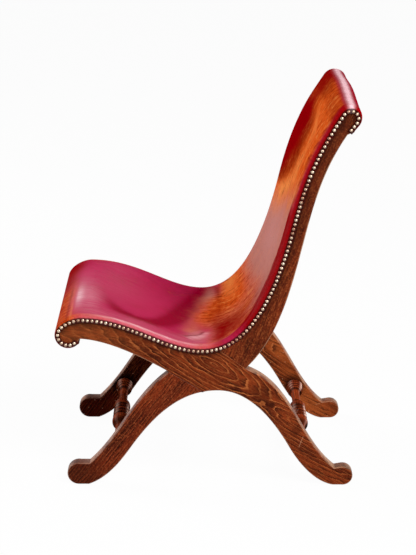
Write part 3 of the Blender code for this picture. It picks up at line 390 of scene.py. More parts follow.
        # distance to a short straight line: what is left of the offset after its part along the line
        runY, runZ = endY - startY, endZ - startZ
        part = ((y - startY) * runY + (z - startZ) * runZ) / (runY**2 + runZ**2)
        part = part.math("MAXIMUM", 0.0).math("MINIMUM", 1.0)
        offY, offZ = y - startY - part * runY, z - startZ - part * runZ
        off = (offY * offY + offZ * offZ) ** 0.5
        colour = made.mix((1.0 - made.band(off, 0.0004, 0.0014)) * share, colour, tone(*tones["wornAndHighlight"]))
    nick = made.node("TexVoronoi", None, {"Vector": place, "Scale": 110.0})
    chosen = made.band(made.node("SeparateColor", None, {0: nick.twin("Color")}), 0.88, 0.92)  # one nick in ten
    colour = made.mix((1.0 - made.band(nick, 0.06, 0.18)) * chosen * 0.55, colour, tone(*tones["wornAndHighlight"]))
    # wear and painted highlights: the edge mark holds wear and a painted highlight on rounded edges, painted light on
    # edge faces that look up, and painted glints along the rings of turnings
    rubbedAndLit = made.mark("edge")
    if not look.get("turned"):
        rubbedAndLit = rubbedAndLit * made.band(made.noise(place, 26.0, 4.0), 0.30, 0.62)
    colour = made.mix(rubbedAndLit * tones["rubAndHighlight"], colour, tone(*tones["wornAndHighlight"]))
    height = late * -0.25 + fleck * -0.35 + pores * -0.6
    rough = tones["roughness"] + late * 0.08 + (broad - 0.5) * 0.16
    coat = made.mark("edge").math("MINIMUM", 0.5) * tones["polish"] + 0.01
    return made.surface(colour=colour, roughness=rough, normal=made.bump(height, 0.00025), gloss=tones["gloss"],
                        coat=coat, coatRough=tones["coatRoughness"])


def lineKnots(first, last, count, swapped):  # points of the sitting line, as (y, z) or, swapped, as (z, y)
    point = lineAt(np.linspace(first, last, count))[0]
    return [tuple(row) for row in (point[:, ::-1] if swapped else point).tolist()]


seatRailLook = {
    "grain": -32.0, "bend": 0.72, "spacing": 0.0086, "wander": 2.0, "contrast": 0.74, "lines": 0.32, "fleck": 0.46,
    "speckle": 0.14, "tints": (("y", -0.10, -0.24, "pale", 0.15),),
    "eyes": ((0.016, 0.2797, 0.30, 0.0, 0.52), (0.2058, 0.1402, 0.26, 2.3, 0.12)),
    "scratches": ((0.2129, 0.1123, 0.2047, 0.0889, 0.30), (0.2020, 0.1050, 0.2120, 0.0985, 0.14)),
    "spots": ((0.1443, 0.1862, 0.0085, 0.75), (0.123, 0.212, 0.030, 0.42), (0.1985, 0.127, 0.017, 0.50)), "nailed": lineKnots(sFront + 0.012, sJoint, 12, False),
}
# the far seat rail and rear leg: the seat rail's wood painted lighter and more orange as painted light, with a painted
# contact shadow round the stretcher's end
litFarSeatRailLook = {
    **seatRailLook, "light": (164, 80, 34), "middle": (130, 54, 20), "fleck": 0.30, "scratches": (),
    "spots": (), "collar": (0.2130, 0.0830, 0.036),
}
uprightLook = {
    "grain": 70.0, "spacing": 0.0105, "wander": 2.4, "contrast": 0.22, "lines": 0.10, "fleck": 0.52, "patches": 0.25,
    "light": (120, 46, 19), "middle": (88, 31, 12), "spots": ((0.0546, 0.2912, 0.0065, 0.8),), "tints": (("z", 0.50, 0.76, "dark", 0.36),),
    "nailed": lineKnots(sJoint, sCrest, 14, True),
}
frontLegLook = {
    "grain": 52.0, "spacing": 0.0068, "wander": 3.0, "contrast": 0.66, "lines": 0.34, "fleck": 0.46,
    "light": (128, 47, 19), "middle": (92, 28, 11), "dark": (28, 7, 3), "pale": (176, 92, 50),
    "wornAndHighlight": (206, 150, 124), "spots": ((-0.276, 0.018, 0.085, 0.50),),
}
# the far front leg: the front leg's wood painted much darker as painted shade under the seat, with a painted contact
# shadow round the stretcher's end
shadedFarFrontLegLook = {
    **frontLegLook, "light": (100, 22, 8), "middle": (66, 11, 4), "dark": (16, 2, 1), "speckle": 0.12, "gloss": 0.0,
    "collar": (-0.1880, 0.0850, 0.042),
}
railLook = {"grain": "across", "spacing": 0.0060, "wander": 1.8, "contrast": 0.5, "lines": 0.3, "fleck": 0.3}
# turnings: the pale tone paints glints along the rings, the dark tone paints shade in the grooves and underneath
turningLook = {
    "grain": "across", "turned": True, "spacing": 0.0055, "wander": 1.2, "contrast": 0.45, "lines": 0.2, "fleck": 0.30,
    "light": (178, 72, 34), "middle": (124, 40, 18), "dark": (10, 2, 1), "wornAndHighlight": (250, 206, 186), "polish": 0.04,
    "rubAndHighlight": 1.0, "gloss": 0.0,
}
pegLook = {
    "grain": "across", "spacing": 0.0030, "wander": 1.0, "contrast": 0.35, "lines": 0.2, "fleck": 0.3,
    "light": (196, 152, 102), "middle": (176, 130, 82), "dark": (120, 80, 44), "roughness": 0.62, "polish": 0.0,
}
seatRailWood, litFarSeatRailWood = woodFinish("seatRailWood", seatRailLook), woodFinish("litFarSeatRailWood", litFarSeatRailLook)
frontLegWood, shadedFarFrontLegWood = woodFinish("frontLegWood", frontLegLook), woodFinish("shadedFarFrontLegWood", shadedFarFrontLegLook)
uprightWood, railWood = woodFinish("uprightWood", uprightLook), woodFinish("railWood", railLook)
turningWood, pegWood = woodFinish("turningWood", turningLook), woodFinish("pegWood", pegLook)
print("wood finishes made")


# Boards of the side frames

# the last entry is the strength of painted light and wear on edge faces that look up
boards = {"edge": 0.0026, "jointEdge": 0.0004, "edgeSteps": 5, "spacing": 0.0026, "support": 0.0010, "topLightAndWear": 1.20}

frontSole, rearSole = (side["frontFoot"] + side["sole"], 0.0), (side["rearFoot"] - side["sole"], 0.0)
arch = np.vstack([
    cubicRun(frontSole, side["frontSoleAngle"], side["frontShin"], side["frontShinAngle"], side["frontShinEase"]),
    cubicRun(side["frontShin"], side["frontShinAngle"], side["archTop"], 0, side["frontArchEase"], 100),
    cubicRun(side["archTop"], 0, side["rearShin"], side["rearShinAngle"], side["rearArchEase"], 100),
    cubicRun(side["rearShin"], side["rearShinAngle"], rearSole, side["rearSoleAngle"], side["rearShinEase"]),
    [rearSole],
])
beforeCrossing = int(np.searchsorted(arch[:, 0], side["crossingY"]))
crossing = np.array([side["crossingY"], np.interp(side["crossingY"], arch[:, 0], arch[:, 1])])
underside = np.vstack([
    cubicRun(side["scrollNotch"], side["scrollNotchAngle"], crossing, side["crossingAngle"], side["railEase"], 160),
    [crossing],
])
legTop = np.array([side["legTopY"], np.interp(side["legTopY"], underside[:, 0], underside[:, 1])])
beforeLeg = int(np.searchsorted(underside[:, 0], side["legTopY"]))
jointFront, jointRear = lineAt(np.array(sJoint))[0], np.array(side["jointRear"])
jointRise = np.array([[jointFront[1] - jointRear[1], jointRear[0] - jointFront[0]]])
jointRise = jointRise / np.linalg.norm(jointRise) * side["gap"]
rearFoot = arcRun((side["rearFoot"], side["rearFootRadius"]), side["rearFootRadius"], side["rearFootTop"], -90)
frontFoot = arcRun((side["frontFoot"], side["frontFootRadius"]), side["frontFootRadius"], side["frontFootTop"], 270)
legJoint = np.vstack([[legTop], underside[beforeLeg:]])
legJointUnder = legJoint - outwardOf(legJoint) * side["gap"]
rearLegTop = cubicRun(jointRear, side["rearLegTop"], side["rearNotch"], side["rearNotchAngle"], side["rearLegEase"])
frontLegTop = cubicRun(side["frontNotch"], side["frontNotchAngle"], legTop, side["legTopAngle"], side["frontLegEase"])
uprightRear = np.vstack([
    cubicRun(jointRear, side["heelAngle"], side["uprightWaist"], side["uprightWaistAngle"], side["lowerEase"], 100),
    cubicRun(side["uprightWaist"], side["uprightWaistAngle"], side["uprightTop"], side["uprightTopAngle"],
             side["upperEase"], 100),
    [side["uprightTop"]],
])
wide, tight = boards["edge"], boards["jointEdge"]
boardRuns = {  # each run of an outline with the radius of its edges
    "seatRail": [
        (line[lineS < sJoint], wide), (straightRun(jointFront, jointRear), tight), (rearLegTop, wide),
        (np.vstack([[side["rearNotch"]], rearFoot]), wide), (arch[beforeCrossing:][::-1], wide),
        (legJoint[::-1], tight), (underside[:beforeLeg][::-1], wide),
    ],
    "upright": [
        (line[lineS > sJoint], wide), (uprightRear[1:][::-1], wide),
        (straightRun(jointRear + jointRise[0], jointFront + jointRise[0]), tight),
    ],
    "frontLeg": [
        (frontLegTop[::-1], wide), (frontFoot, wide), (arch[:beforeCrossing], wide), (legJointUnder[::-1], tight),
    ],
}


def evenOutline(runs, spacing):
    # each run at even steps, so that its corners stay, and the edge radius eased between runs
    points, radius = [], []
    for run, size in runs:
        s = lengthsOf(run)
        count = max(3, int(s[-1] / spacing) + 1)
        at = np.linspace(0, s[-1], count)
        points.append(np.stack([np.interp(at, s, run[:, i]) for i in range(2)], axis=1))
        radius.append(np.full(count, size))
    points, radius = np.vstack(points), np.concatenate(radius)
    keep = np.linalg.norm(points - np.roll(points, 1, axis=0), axis=1) > spacing * 0.25
    points, radius = points[keep], radius[keep]
    radius = np.min([np.roll(radius, shift) for shift in (-1, 0, 1)], axis=0)
    for _ in range(2):
        radius = (np.roll(radius, 1) + radius + np.roll(radius, -1)) / 3
    area = (points[:, 0] * np.roll(points[:, 1], -1) - points[:, 1] * np.roll(points[:, 0], -1)).sum()
    return (points, radius) if area > 0 else (points[::-1], radius[::-1])


def boardSurface(runs, inner, outer):
    # the outline swept through the board's thickness, its edges rounded: at angle a round an edge of
    # radius r the outline goes in by r(1 - sin a) and the face back by r(1 - cos a)
    outline, radius = evenOutline(runs, boards["spacing"])
    step = np.roll(outline, -1, axis=0) - np.roll(outline, 1, axis=0)
    inward = np.stack([-step[:, 1], step[:, 0]], axis=1)
    inward /= np.linalg.norm(inward, axis=1, keepdims=True)
    angle = np.radians(np.linspace(0, 90, boards["edgeSteps"]))[:, None]
    inset = np.vstack([radius[None] + boards["support"], radius * (1 - np.sin(angle))])
    back = np.vstack([radius[None] * 0, radius * (1 - np.cos(angle))])
    insets = np.vstack([inset, inset[::-1]])
    x = np.vstack([outer - back, inner + back[::-1]])
    rings = outline[None] + inward[None] * insets[..., None]
    # the edge mark: wear and a painted highlight on the rounded edges, and painted light on edge faces that look up
    half = np.concatenate([[0.0], np.sin(2 * angle[:, 0]) * 0.85 + 0.15 * np.sin(angle[:, 0])])
    half = np.concatenate([half, half[::-1]])[:, None] * np.clip(radius / boards["edge"], 0, 1)
    turned = np.concatenate([[0.0], np.sin(angle[:, 0])])
    turned = np.concatenate([turned, turned[::-1]])[:, None] ** 4
    lit = smoothStep(-inward[:, 1], 0.20, 0.70) * (1 - 0.7 * smoothStep(-inward[:, 1], 0.86, 0.98))
    edge = np.maximum(half, boards["topLightAndWear"] * turned * lit)
    count = len(outline)
    last = (len(insets) - 1) * count + np.arange(count)
    faces = cells(len(insets), count, True)[:, ::-1].tolist()
    faces += [np.arange(count).tolist(), last[::-1].tolist()]
    return np.concatenate([x[..., None], rings], axis=-1), faces, edge


boardParts = {  # node, left wood, right wood
    "seatRail": ("seat_rail_and_rear_leg", seatRailWood, litFarSeatRailWood),
    "upright": ("back_upright", uprightWood, uprightWood),
    "frontLeg": ("front_leg", frontLegWood, shadedFarFrontLegWood),
}
for key, (node, leftWood, rightWood) in boardParts.items():
    points, faces, edge = boardSurface(boardRuns[key], side["halfOpening"], side["halfWidth"])
    mirrored = points * np.array([-1, 1, 1])
    makePiece("left_" + key, points, faces, leftWood, ["left_" + node], None, 2, {"edge": edge})
    faces = [face[::-1] for face in faces]
    makePiece("right_" + key, mirrored, faces, rightWood, ["right_" + node], None, 2, {"edge": edge})
print("side frames made")


# Rails that lie inside the upholstery, and the stretchers

crossRails = {"frontFloor": 0.007, "tenon": 0.018, "crestTenon": 0.011, "sides": 36}

shoulder = side["halfOpening"] - side["gap"]
frontRailTop = lineAt(np.array(sFrontRail))[0]
frontRailRuns = [
    (line[lineS < sFrontRail], 0.0010), (straightRun(frontRailTop, (frontRailBack, 0.342)), 0.0010),
    (straightRun((frontRailBack, side["scrollNotch"][1] + crossRails["frontFloor"]), side["scrollNotch"]), 0.0010),
]
points, faces, edge = boardSurface(frontRailRuns, -shoulder, shoulder)
makePiece("frontRail", points, faces, railWood, ["front_rail"], None, 2, {"edge": edge})

# Crest rail: a round bar along x that rises with the bow, with a thinner round tenon at each end
x = np.concatenate([np.linspace(-shoulder, shoulder, 61), [shoulder, shoulder + crossRails["tenon"]]])
x = np.concatenate([[-shoulder - crossRails["tenon"], -shoulder], x])
radius = np.where(np.abs(x) > shoulder, crossRails["crestTenon"], side["crestRadius"] - side["gap"])
radius[[1, -2]] = crossRails["crestTenon"]
rise = bowAt(x, np.array(side["crest"][1])) * (np.abs(x) < shoulder - 0.006)
turn = np.linspace(0, 2 * np.pi, crossRails["sides"], endpoint=False)
crestRail = np.stack([
    np.repeat(x[:, None], len(turn), axis=1),
    side["crest"][0] + radius[:, None] * np.cos(turn),
    side["crest"][1] + rise[:, None] + radius[:, None] * np.sin(turn),
], axis=-1)
ones = np.zeros(crestRail.shape[:2])
makePiece("crestRail", crestRail, tubeFaces(len(x), len(turn)), railWood, ["crest_rail"],
          None, 2, {"edge": ones})

stretchers = {
    "front": (-0.1915, 0.081), "rear": (0.2155, 0.0785), "tenonRadius": 0.010, "tenon": 0.018, "sides": 44,
    "beadRadius": 0.0184, "grooveRadius": 0.0146, "bulbRadius": 0.0188, "neckRadius": 0.0098,
    "collarRingRadii": (0.0180, 0.0192), "collarRadius": 0.0196,
}


def beadRun(start, end, foot, top, count=9):  # half circle seen from the side, squashed to its height
    d = np.linspace(start, end, count)
    share = np.clip(1 - ((d - (start + end) / 2) / ((end - start) / 2)) ** 2, 0, 1)
    return np.stack([d, foot + (top - foot) * np.sqrt(share)], axis=1)


def easeRun(start, startRadius, end, endRadius, power=1.0, count=14):
    # smooth step of the radius; a power above 1 holds the first radius longer
    t = np.linspace(0, 1, count) ** power
    radius = startRadius + (endRadius - startRadius) * t * t * (3 - 2 * t)
    return np.stack([np.linspace(start, end, count), radius], axis=1)


def turnedProfile(v):
    # (distance from the middle, radius) of half a stretcher: a bead between two narrower ones, a bulb, a
    # long slim neck that widens in a hollow curve to two rings and the collar at the leg, then the tenon
    groove = v["grooveRadius"]
    half = np.vstack([
        beadRun(-0.0085, 0.0085, groove + 0.0006, v["beadRadius"], 17)[8:],
        [[0.0090, groove], [0.0106, groove - 0.0004], [0.0122, groove]],
        beadRun(0.0127, 0.0240, groove + 0.0006, v["beadRadius"]),
        [[0.0245, groove], [0.0264, groove - 0.0006], [0.0284, groove]],
        beadRun(0.0290, 0.0610, groove + 0.0010, v["bulbRadius"], 21)[:13],
        easeRun(0.0500, v["bulbRadius"] - 0.0002, 0.0860, v["neckRadius"], 1.0),
        easeRun(0.1360, v["neckRadius"], 0.1600, 0.0150, 1.7),
        [[0.1604, 0.0138], [0.1624, 0.0138]],
        beadRun(0.1628, 0.1712, 0.0150, v["collarRingRadii"][0]),
        [[0.1717, 0.0156], [0.1732, 0.0156]],
        beadRun(0.1736, 0.1812, 0.0166, v["collarRingRadii"][1]),
        [[0.1816, 0.0168], [0.1828, 0.0168]],
        beadRun(0.1832, 2 * shoulder - 0.1832, 0.0174, v["collarRadius"], 21)[:11],
        [[shoulder, v["collarRadius"] - 0.0002], [shoulder, v["tenonRadius"]]],
        [[shoulder + v["tenon"], v["tenonRadius"]]],
    ])
    return np.vstack([half[:0:-1] * np.array([-1, 1]), half])


profile = turnedProfile(stretchers)
turn = np.linspace(0, 2 * np.pi, stretchers["sides"], endpoint=False)


def nearbyRadius(reach):  # radii of the profile within a reach of each of its points
    return np.interp(profile[:, :1] + np.linspace(-reach, reach, 13), profile[:, 0], profile[:, 1])


around = nearbyRadius(0.006).mean(axis=1)
hollow = nearbyRadius(0.0024).mean(axis=1) - profile[:, 1]
groove = np.clip((around - nearbyRadius(0.0036).min(axis=1)) / 0.0013 - 0.2 + hollow / 0.0005, 0, 1)[:, None]
crown = np.clip((profile[:, 1] - around) / 0.0014 - hollow / 0.0008, 0, 1)[:, None]
for key in ("front", "rear"):
    y, z = stretchers[key]
    points = np.stack([
        np.repeat(profile[:, :1], len(turn), axis=1),
        y + profile[:, 1:] * np.cos(turn),
        z + profile[:, 1:] * np.sin(turn),
    ], axis=-1)
    shine = 0.36 * np.exp(-((turn - 2.20) / 0.24) ** 2) + np.exp(-((turn - 0.55) / 0.20) ** 2)  # painted highlights along two lines round the turning
    shade = groove * (1 - 0.30 * shine) + 0.8 * np.clip(-np.sin(turn - 0.5), 0, 1)
    # painted highlights on the ring crowns, and painted shade in the grooves and on the underside
    marks = {"edge": (0.14 + 0.86 * crown) * shine, "groove": np.clip(shade, 0, 1)}
    makePiece(key + "Stretcher", points, tubeFaces(len(profile), len(turn)), turningWood,
              [key + "_stretcher"], None, 2, marks)

# Dowels and the crook rail keep their solids and take a wood finish
for name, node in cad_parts.items():
    if "dowel" in name or name == "crook_rail":
        node.data.materials.clear()
        node.data.materials.append(pegWood if "dowel" in name else railWood)
print("rails and stretchers made")


# Leather

# colours of the hide: crimson is its dye; deep, wine, rose, amber, gold and brown are dye and wear that also stand for
# painted reflections; sheen is painted highlight, and the near black is painted shade
leather = {
    "crimson": (194, 40, 88), "deep": (148, 0, 6), "rose": (202, 130, 116), "amber": (232, 94, 30),
    "gold": (255, 160, 84), "brown": (126, 20, 2), "wine": (154, 0, 44), "sheen": (252, 200, 208),
    "paintedShade": (36, 11, 8), "roughness": 0.50, "gloss": 0.0, "coatRoughness": 0.22,
    "nailPitch": 0.0098, "lean": 0.30,
}


def leatherFinish(name, look, marked=True):
    # dyes and wear, with painted reflections, highlights and shade, lie over one another where the hide is marked; each
    # keeps a soft edge that follows the mottling and the streaks along the hide
    made = Finish(name)
    flat = made.flat()
    across = made.node("SeparateXYZ", None, {0: flat})
    along = across.twin(1)
    mottle = made.noise(flat, 11.0, 4.0)
    fine = made.noise(flat, 95.0, 4.0)
    lean = made.node("CombineXYZ", None, {0: across - along * look["lean"], 1: along})
    streak = made.noise(made.stretch(lean, (300.0, 8.0, 1.0)), 1.0, 4.0)
    stroke = made.noise(made.stretch(lean, (130.0, 18.0, 1.0)), 1.0, 5.0, 0.6)
    pebble = made.node("TexVoronoi", {"feature": "DISTANCE_TO_EDGE"}, {"Vector": flat, "Scale": 620.0})
    colour = made.mix(made.band(mottle, 0.42, 0.72) * 0.18, tone(*look["crimson"]), tone(*look["deep"]))
    polish = 0.05
    if marked:
        blotch = (mottle - 0.5) * 0.7 + (streak - 0.5) * 0.3 + (stroke - 0.5) * 0.4 + (fine - 0.5) * 0.4
        rose = made.band(made.mark("rose") + blotch * 0.5, 0.0, 1.05)
        amber = made.band(made.mark("amber") + blotch * 0.8, 0.05, 1.0)
        gold = made.band(made.mark("gold") + blotch * 1.3, 0.15, 1.2)
        brown = made.band(made.mark("brown") + blotch * 0.9, 0.05, 1.05)
        deep = made.band(made.mark("deep") + blotch * 0.5, 0.05, 1.0)
        wine = made.band(made.mark("wine") + blotch * 0.3, 0.0, 1.0)
        for share, key in ((wine, "wine"), (rose, "rose"), (amber, "amber"), (gold, "gold")):
            colour = made.mix(share, colour, tone(*look[key]))
        # thin streaks and flecks laid in the tan wear and the painted warm reflections
        thin = made.band(stroke + (streak - 0.5) * 0.2 + (fine - 0.5) * 0.6, 0.50, 0.74) * (amber * 0.55 + rose * 0.10)
        rubbedAndLit = (1.0 - made.band(stroke + (streak - 0.5) * 0.2 + (fine - 0.5) * 0.6, 0.26, 0.48)) * (amber * 0.62 + rose * 0.15)
        for share, key in ((thin, "brown"), (rubbedAndLit, "gold"), (brown, "brown"), (deep, "deep")):
            colour = made.mix(share, colour, tone(*look[key]))
        # painted highlights, broken by the streaks
        sheen = made.mark("sheen") * (0.55 + made.band(stroke * 0.5 + streak * 0.5, 0.36, 0.62) * 0.75)
        colour = made.mix(sheen * 0.9, colour, tone(*look["sheen"]))
        # painted shade where the mesh is marked
        colour = made.mix(made.mark("paintedShade") * 0.9, colour, tone(*look["paintedShade"]))
        polish = made.mark("polish")
    colour = made.mix(made.band(fine, 0.55, 0.8) * 0.14, colour, tone(*look["deep"]))
    colour = made.mix(made.band(streak, 0.52, 0.78) * 0.08, colour, tone(*look["deep"]))
    edge = made.band(across.math("ABSOLUTE"), 0.209, 0.222)  # the leather dips between nails at its edges
    pucker = (along * (2 * math.pi / look["nailPitch"])).math("COSINE") * edge
    height = made.band(pebble, 0.0, 0.35) * 0.35 + fine * 0.5 + streak * 0.25 + pucker * 0.8
    rough = look["roughness"] + (fine - 0.5) * 0.25 + (streak - 0.5) * 0.15
    return made.surface(colour=colour, roughness=rough, normal=made.bump(height, 0.0004, 0.7),
                        gloss=look["gloss"], coat=polish, coatRough=look["coatRoughness"])


coverLeather = leatherFinish("coverLeather", leather)
backLeather = leatherFinish("backLeather", {**leather, "crimson": (128, 16, 34), "deep": (84, 4, 14)}, False)

cover = {
    "thickness": 0.0025, "rows": 360, "span": 96, "roll": 10, "flap": 4, "flapLength": 0.009,
    "rollWidth": 0.011, "cornerWidth": 0.0015, "fullPad": 0.006, "dish": 0.013, "dishPower": 1.5,
    "seatPad": 0.0046, "crookPad": 0.0063, "lumbarPad": 0.0102, "upperPad": 0.0115, "crestPad": 0.0095,
    "crestPadLength": 0.060, "sagRamp": 0.085, "topMargin": 0.030, "uneven": 0.0004, "crease": 0.0016,
}
sSlingEnd = sCrest - cover["topMargin"]
padKeys = (
    (0.0, side["gap"]), (sFront, side["gap"]), (sCrown, cover["seatPad"]), (sLow, cover["crookPad"]),
    (lineWhere(1, 0.47, 3, 5), cover["lumbarPad"]), (lineWhere(1, 0.755, 3, 5), cover["upperPad"]),
    (sCrest, cover["crestPad"]), (sCrest + cover["crestPadLength"], side["gap"]), (sEnd, side["gap"]),
)
slingKeys = (
    (sFrontRail, 0.0), (sFrontRail + cover["sagRamp"], 1.0),
    (sSlingEnd - cover["sagRamp"], 1.0), (sSlingEnd, 0.0),
)


def coverSection(s, share):
    # x and height of the hide's inner face for rows s and a share from -1 to 1 across: a hollowed span
    # pad - dish (1 - (x/end)^2)^power, a quarter ellipse over the frame's edge, then a flap down the side
    pad, dish = easeKeys(s, padKeys)[:, None], cover["dish"] * easeKeys(s, slingKeys)[:, None]
    size = np.abs(share)[None]
    outer = side["halfWidth"] + side["gap"]
    roll = cover["cornerWidth"] + (cover["rollWidth"] - cover["cornerWidth"]) * np.clip(pad / cover["fullPad"], 0, 1)
    end = side["halfWidth"] - roll
    spanX = end * np.clip(size, 0, 1)
    spanHeight = pad - dish * np.clip(1 - (spanX / end) ** 2, 0, 1) ** cover["dishPower"]
    angle = np.clip(size - 1, 0, 1) * np.pi / 2
    rollX, rollHeight = end + (outer - end) * np.sin(angle), pad * np.cos(angle)
    flapHeight = -cover["flapLength"] * np.clip(size - 2, 0, 1)
    x = np.where(size <= 1, spanX, rollX)
    height = np.where(size <= 1, spanHeight, np.where(size <= 2, rollHeight, flapHeight))
    return x * np.sign(share)[None], height


def coverShares(span, roll, flap):  # across the hide: span to 1, roll to 2, flap to 3, both sides
    half = np.concatenate([np.linspace(0, 1, span // 2 + 1)[1:], np.linspace(1, 2, roll + 1)[1:],
                           np.linspace(2, 3, flap + 1)[1:]])
    return np.concatenate([-half[::-1], [0], half])


settle = {"rows": 120, "span": 36, "frames": 24, "limit": 0.0030, "looseness": 0.004, "push": 0.05}


def settledHide(s, share):
    # the hide relaxes as cloth over its stuffing, held at the rails and along its nailed edges; how far
    # each point moved is kept within a limit and read back on the finer grid
    rows = np.linspace(s[0], s[-1], settle["rows"])
    columns = coverShares(settle["span"], 2, 1)
    x, height = coverSection(rows, columns)
    start = onLine(rows, x, height)
    mesh = bpy.data.meshes.new("hideCloth")
    mesh.from_pydata(start.reshape(-1, 3).tolist(), [], cells(len(rows), len(columns)).tolist())
    cloth = bpy.data.objects.new("hideCloth", mesh)
    scene.collection.objects.link(cloth)
    inner = (smoothStep(rows, sFrontRail - 0.02, sFrontRail + 0.02)
             * (1 - smoothStep(rows, sSlingEnd - 0.03, sSlingEnd)))[:, None] * (np.abs(columns) < 0.94)[None]
    held = cloth.vertex_groups.new(name="held")
    for level in range(11):  # points in ten classes of how firmly they are held
        chosen = np.flatnonzero(np.round((1 - inner).ravel() * 10) == level)
        held.add(chosen.tolist(), level / 10, "REPLACE")
    modifier = cloth.modifiers.new("cloth", "CLOTH")
    options = modifier.settings
    options.quality, options.mass, options.air_damping = 6, 0.3, 4.0
    options.tension_stiffness, options.compression_stiffness, options.shear_stiffness = 40.0, 40.0, 20.0
    options.bending_stiffness, options.bending_damping = 3.0, 2.0
    options.vertex_group_mass, options.pin_stiffness = "held", 4.0
    options.shrink_min = -settle["looseness"]
    options.use_pressure, options.uniform_pressure_force = True, settle["push"]
    options.effector_weights.gravity = 0.0
    modifier.collision_settings.use_collision = False
    modifier.point_cache.frame_start, modifier.point_cache.frame_end = 1, settle["frames"]
    for number in range(1, settle["frames"] + 1):
        scene.frame_set(number)
    seen = cloth.evaluated_get(bpy.context.evaluated_depsgraph_get())
    end = np.empty(len(mesh.vertices) * 3)
    seen.data.vertices.foreach_get("co", end)
    moved = end.reshape(start.shape) - start
    bpy.data.objects.remove(cloth)
    scene.frame_set(1)
    far = np.linalg.norm(moved, axis=-1, keepdims=True)
    print("hide settled, most", round(float(far.max()) * 1000, 1), "mm")
    moved *= settle["limit"] * np.tanh(far / settle["limit"]) / np.maximum(far, 1e-9)
    return betweenCells(betweenCells(moved, rows, s, 0), columns, share, 1)


def betweenCells(values, known, wanted, axis):  # linear reading of a grid along one axis
    place = np.clip(np.searchsorted(known, wanted) - 1, 0, len(known) - 2)
    part = (wanted - known[place]) / (known[place + 1] - known[place])
    part = part[:, None, None] if axis == 0 else part[None, :, None]
    return np.take(values, place, axis) * (1 - part) + np.take(values, place + 1, axis) * part


s = np.linspace(0, sEnd, cover["rows"])
share = coverShares(cover["span"], cover["roll"], cover["flap"])
x, height = coverSection(s, share)
lineZ = lineAt(s)[0][:, 1:]
sGrid = np.broadcast_to(s[:, None], x.shape)
free = np.clip(1 - (np.abs(x) / 0.205) ** 4, 0, 1) * easeKeys(s, slingKeys)[:, None]


def blob(s0, sSize, x0, xSize):  # soft oval patch on the hide
    return np.exp(-((sGrid - s0) / sSize) ** 2 - ((x - x0) / xSize) ** 2)


def softLine(width, *path):  # soft line on the hide through a few (x, s) points: exp(-(distance/width)^2)
    steps = np.linspace(0, len(path) - 1, 20 * len(path))
    dense = [np.interp(steps, np.arange(len(path)), column) for column in zip(*path)]
    return np.exp(-np.min((x[..., None] - dense[0]) ** 2 + (sGrid[..., None] - dense[1]) ** 2, axis=-1) / width**2)


# Slow unevenness as a sum of crossed sine waves, and folds of the loose corners where seat and back meet
uneven = (np.sin(31 * sGrid + 17 * x) + np.sin(47 * sGrid - 29 * x + 1.3) + np.sin(73 * x + 11 * sGrid + 0.7)) / 3
folds = [
    ((0.112, 0.410), (0.126, 0.404), (0.142, 0.390), (0.154, 0.372)),
    ((0.150, 0.420), (0.165, 0.408), (0.178, 0.388)),
    ((-0.180, 0.418), (-0.160, 0.405), (-0.140, 0.402)),
]
crease = sum(softLine(0.006, *fold) for fold in folds)
ridge = sum(softLine(0.007, *[(a + 0.010, b + 0.006) for a, b in fold]) for fold in folds)
height = height + (cover["uneven"] * uneven + cover["crease"] * (0.7 * ridge - crease)) * free
points = onLine(s, x, height)
points = points + settledHide(s, share)
hideS, hideX, hidePoints = s, x, points

# Dye, wear and stain on the hide, with painted reflections, highlights and shade, as soft shapes in distance along and
# across it

def stripe(middle, size):  # soft stripe along a line across the hide
    return np.exp(-((sGrid - middle) / size) ** 2)


def within(low, high, ease):  # soft range of distances along the hide
    return past(sGrid - low, ease) * (1 - past(sGrid - high, ease))


def past(value, ease):  # soft edge: 0 below zero, 1 above
    return smoothStep(value, -ease, ease)


cornerEdge = 0.005 - 0.204 * np.exp(-(sGrid - 0.758) / 0.075)  # x where the dark upper corner, a painted dark reflection, ends
paleTop = 0.765 + 0.28 * x  # the pale belt of the back, a painted reflection, ends here, higher on the chair's left
crookEdge = 0.425 - 0.022 * np.exp(-(x / 0.06) ** 2) + 0.030 * smoothStep(-x, 0.07, 0.19)  # where the seat's red gives way to the crook's tan wear and painted warm reflection
nearSide = smoothStep(x, -0.10, 0.06)
edges = smoothStep(np.abs(x) - 0.006 * past(sGrid - 0.79, 0.05), 0.203, 0.213)
flaps = smoothStep(np.abs(share), 1.8, 2.0)[None] + 0 * x
tips = 1 - within(0.014, sEnd - 0.014, 0.005)
upper = past(sGrid - paleTop, 0.070) * (1 - past(sGrid - 1.038, 0.006))
crook = past(sGrid - crookEdge, 0.032) * (1 - past(sGrid - 0.545 - 0.03 * nearSide, 0.060))
corner = upper * within(0.73, 1.05, 0.02)
crescent = softLine(0.024, (-0.190, 0.420), (-0.078, 0.379), (0.012, 0.349), (0.082, 0.319), (0.136, 0.285),
                    (0.146, 0.250), (0.120, 0.215), (0.062, 0.180), (-0.008, 0.152)) * smoothStep(sGrid, 0.14, 0.24)
seatRoll = np.exp(-((x - 0.2142) / 0.0030) ** 2) * within(0.19, 0.390, 0.07)
backRoll = np.exp(-((x - 0.2165) / 0.0026) ** 2) * within(0.52, 1.02, 0.05)
salmon = softLine(0.026, (-0.13, 0.418), (-0.02, 0.398), (0.06, 0.388), (0.09, 0.383))  # salmon below the crook
inward = smoothStep(x, -0.17, 0.03)
darkSpot = crook * softLine(0.034, (0.090, 0.461), (0.13, 0.455), (0.17, 0.451))
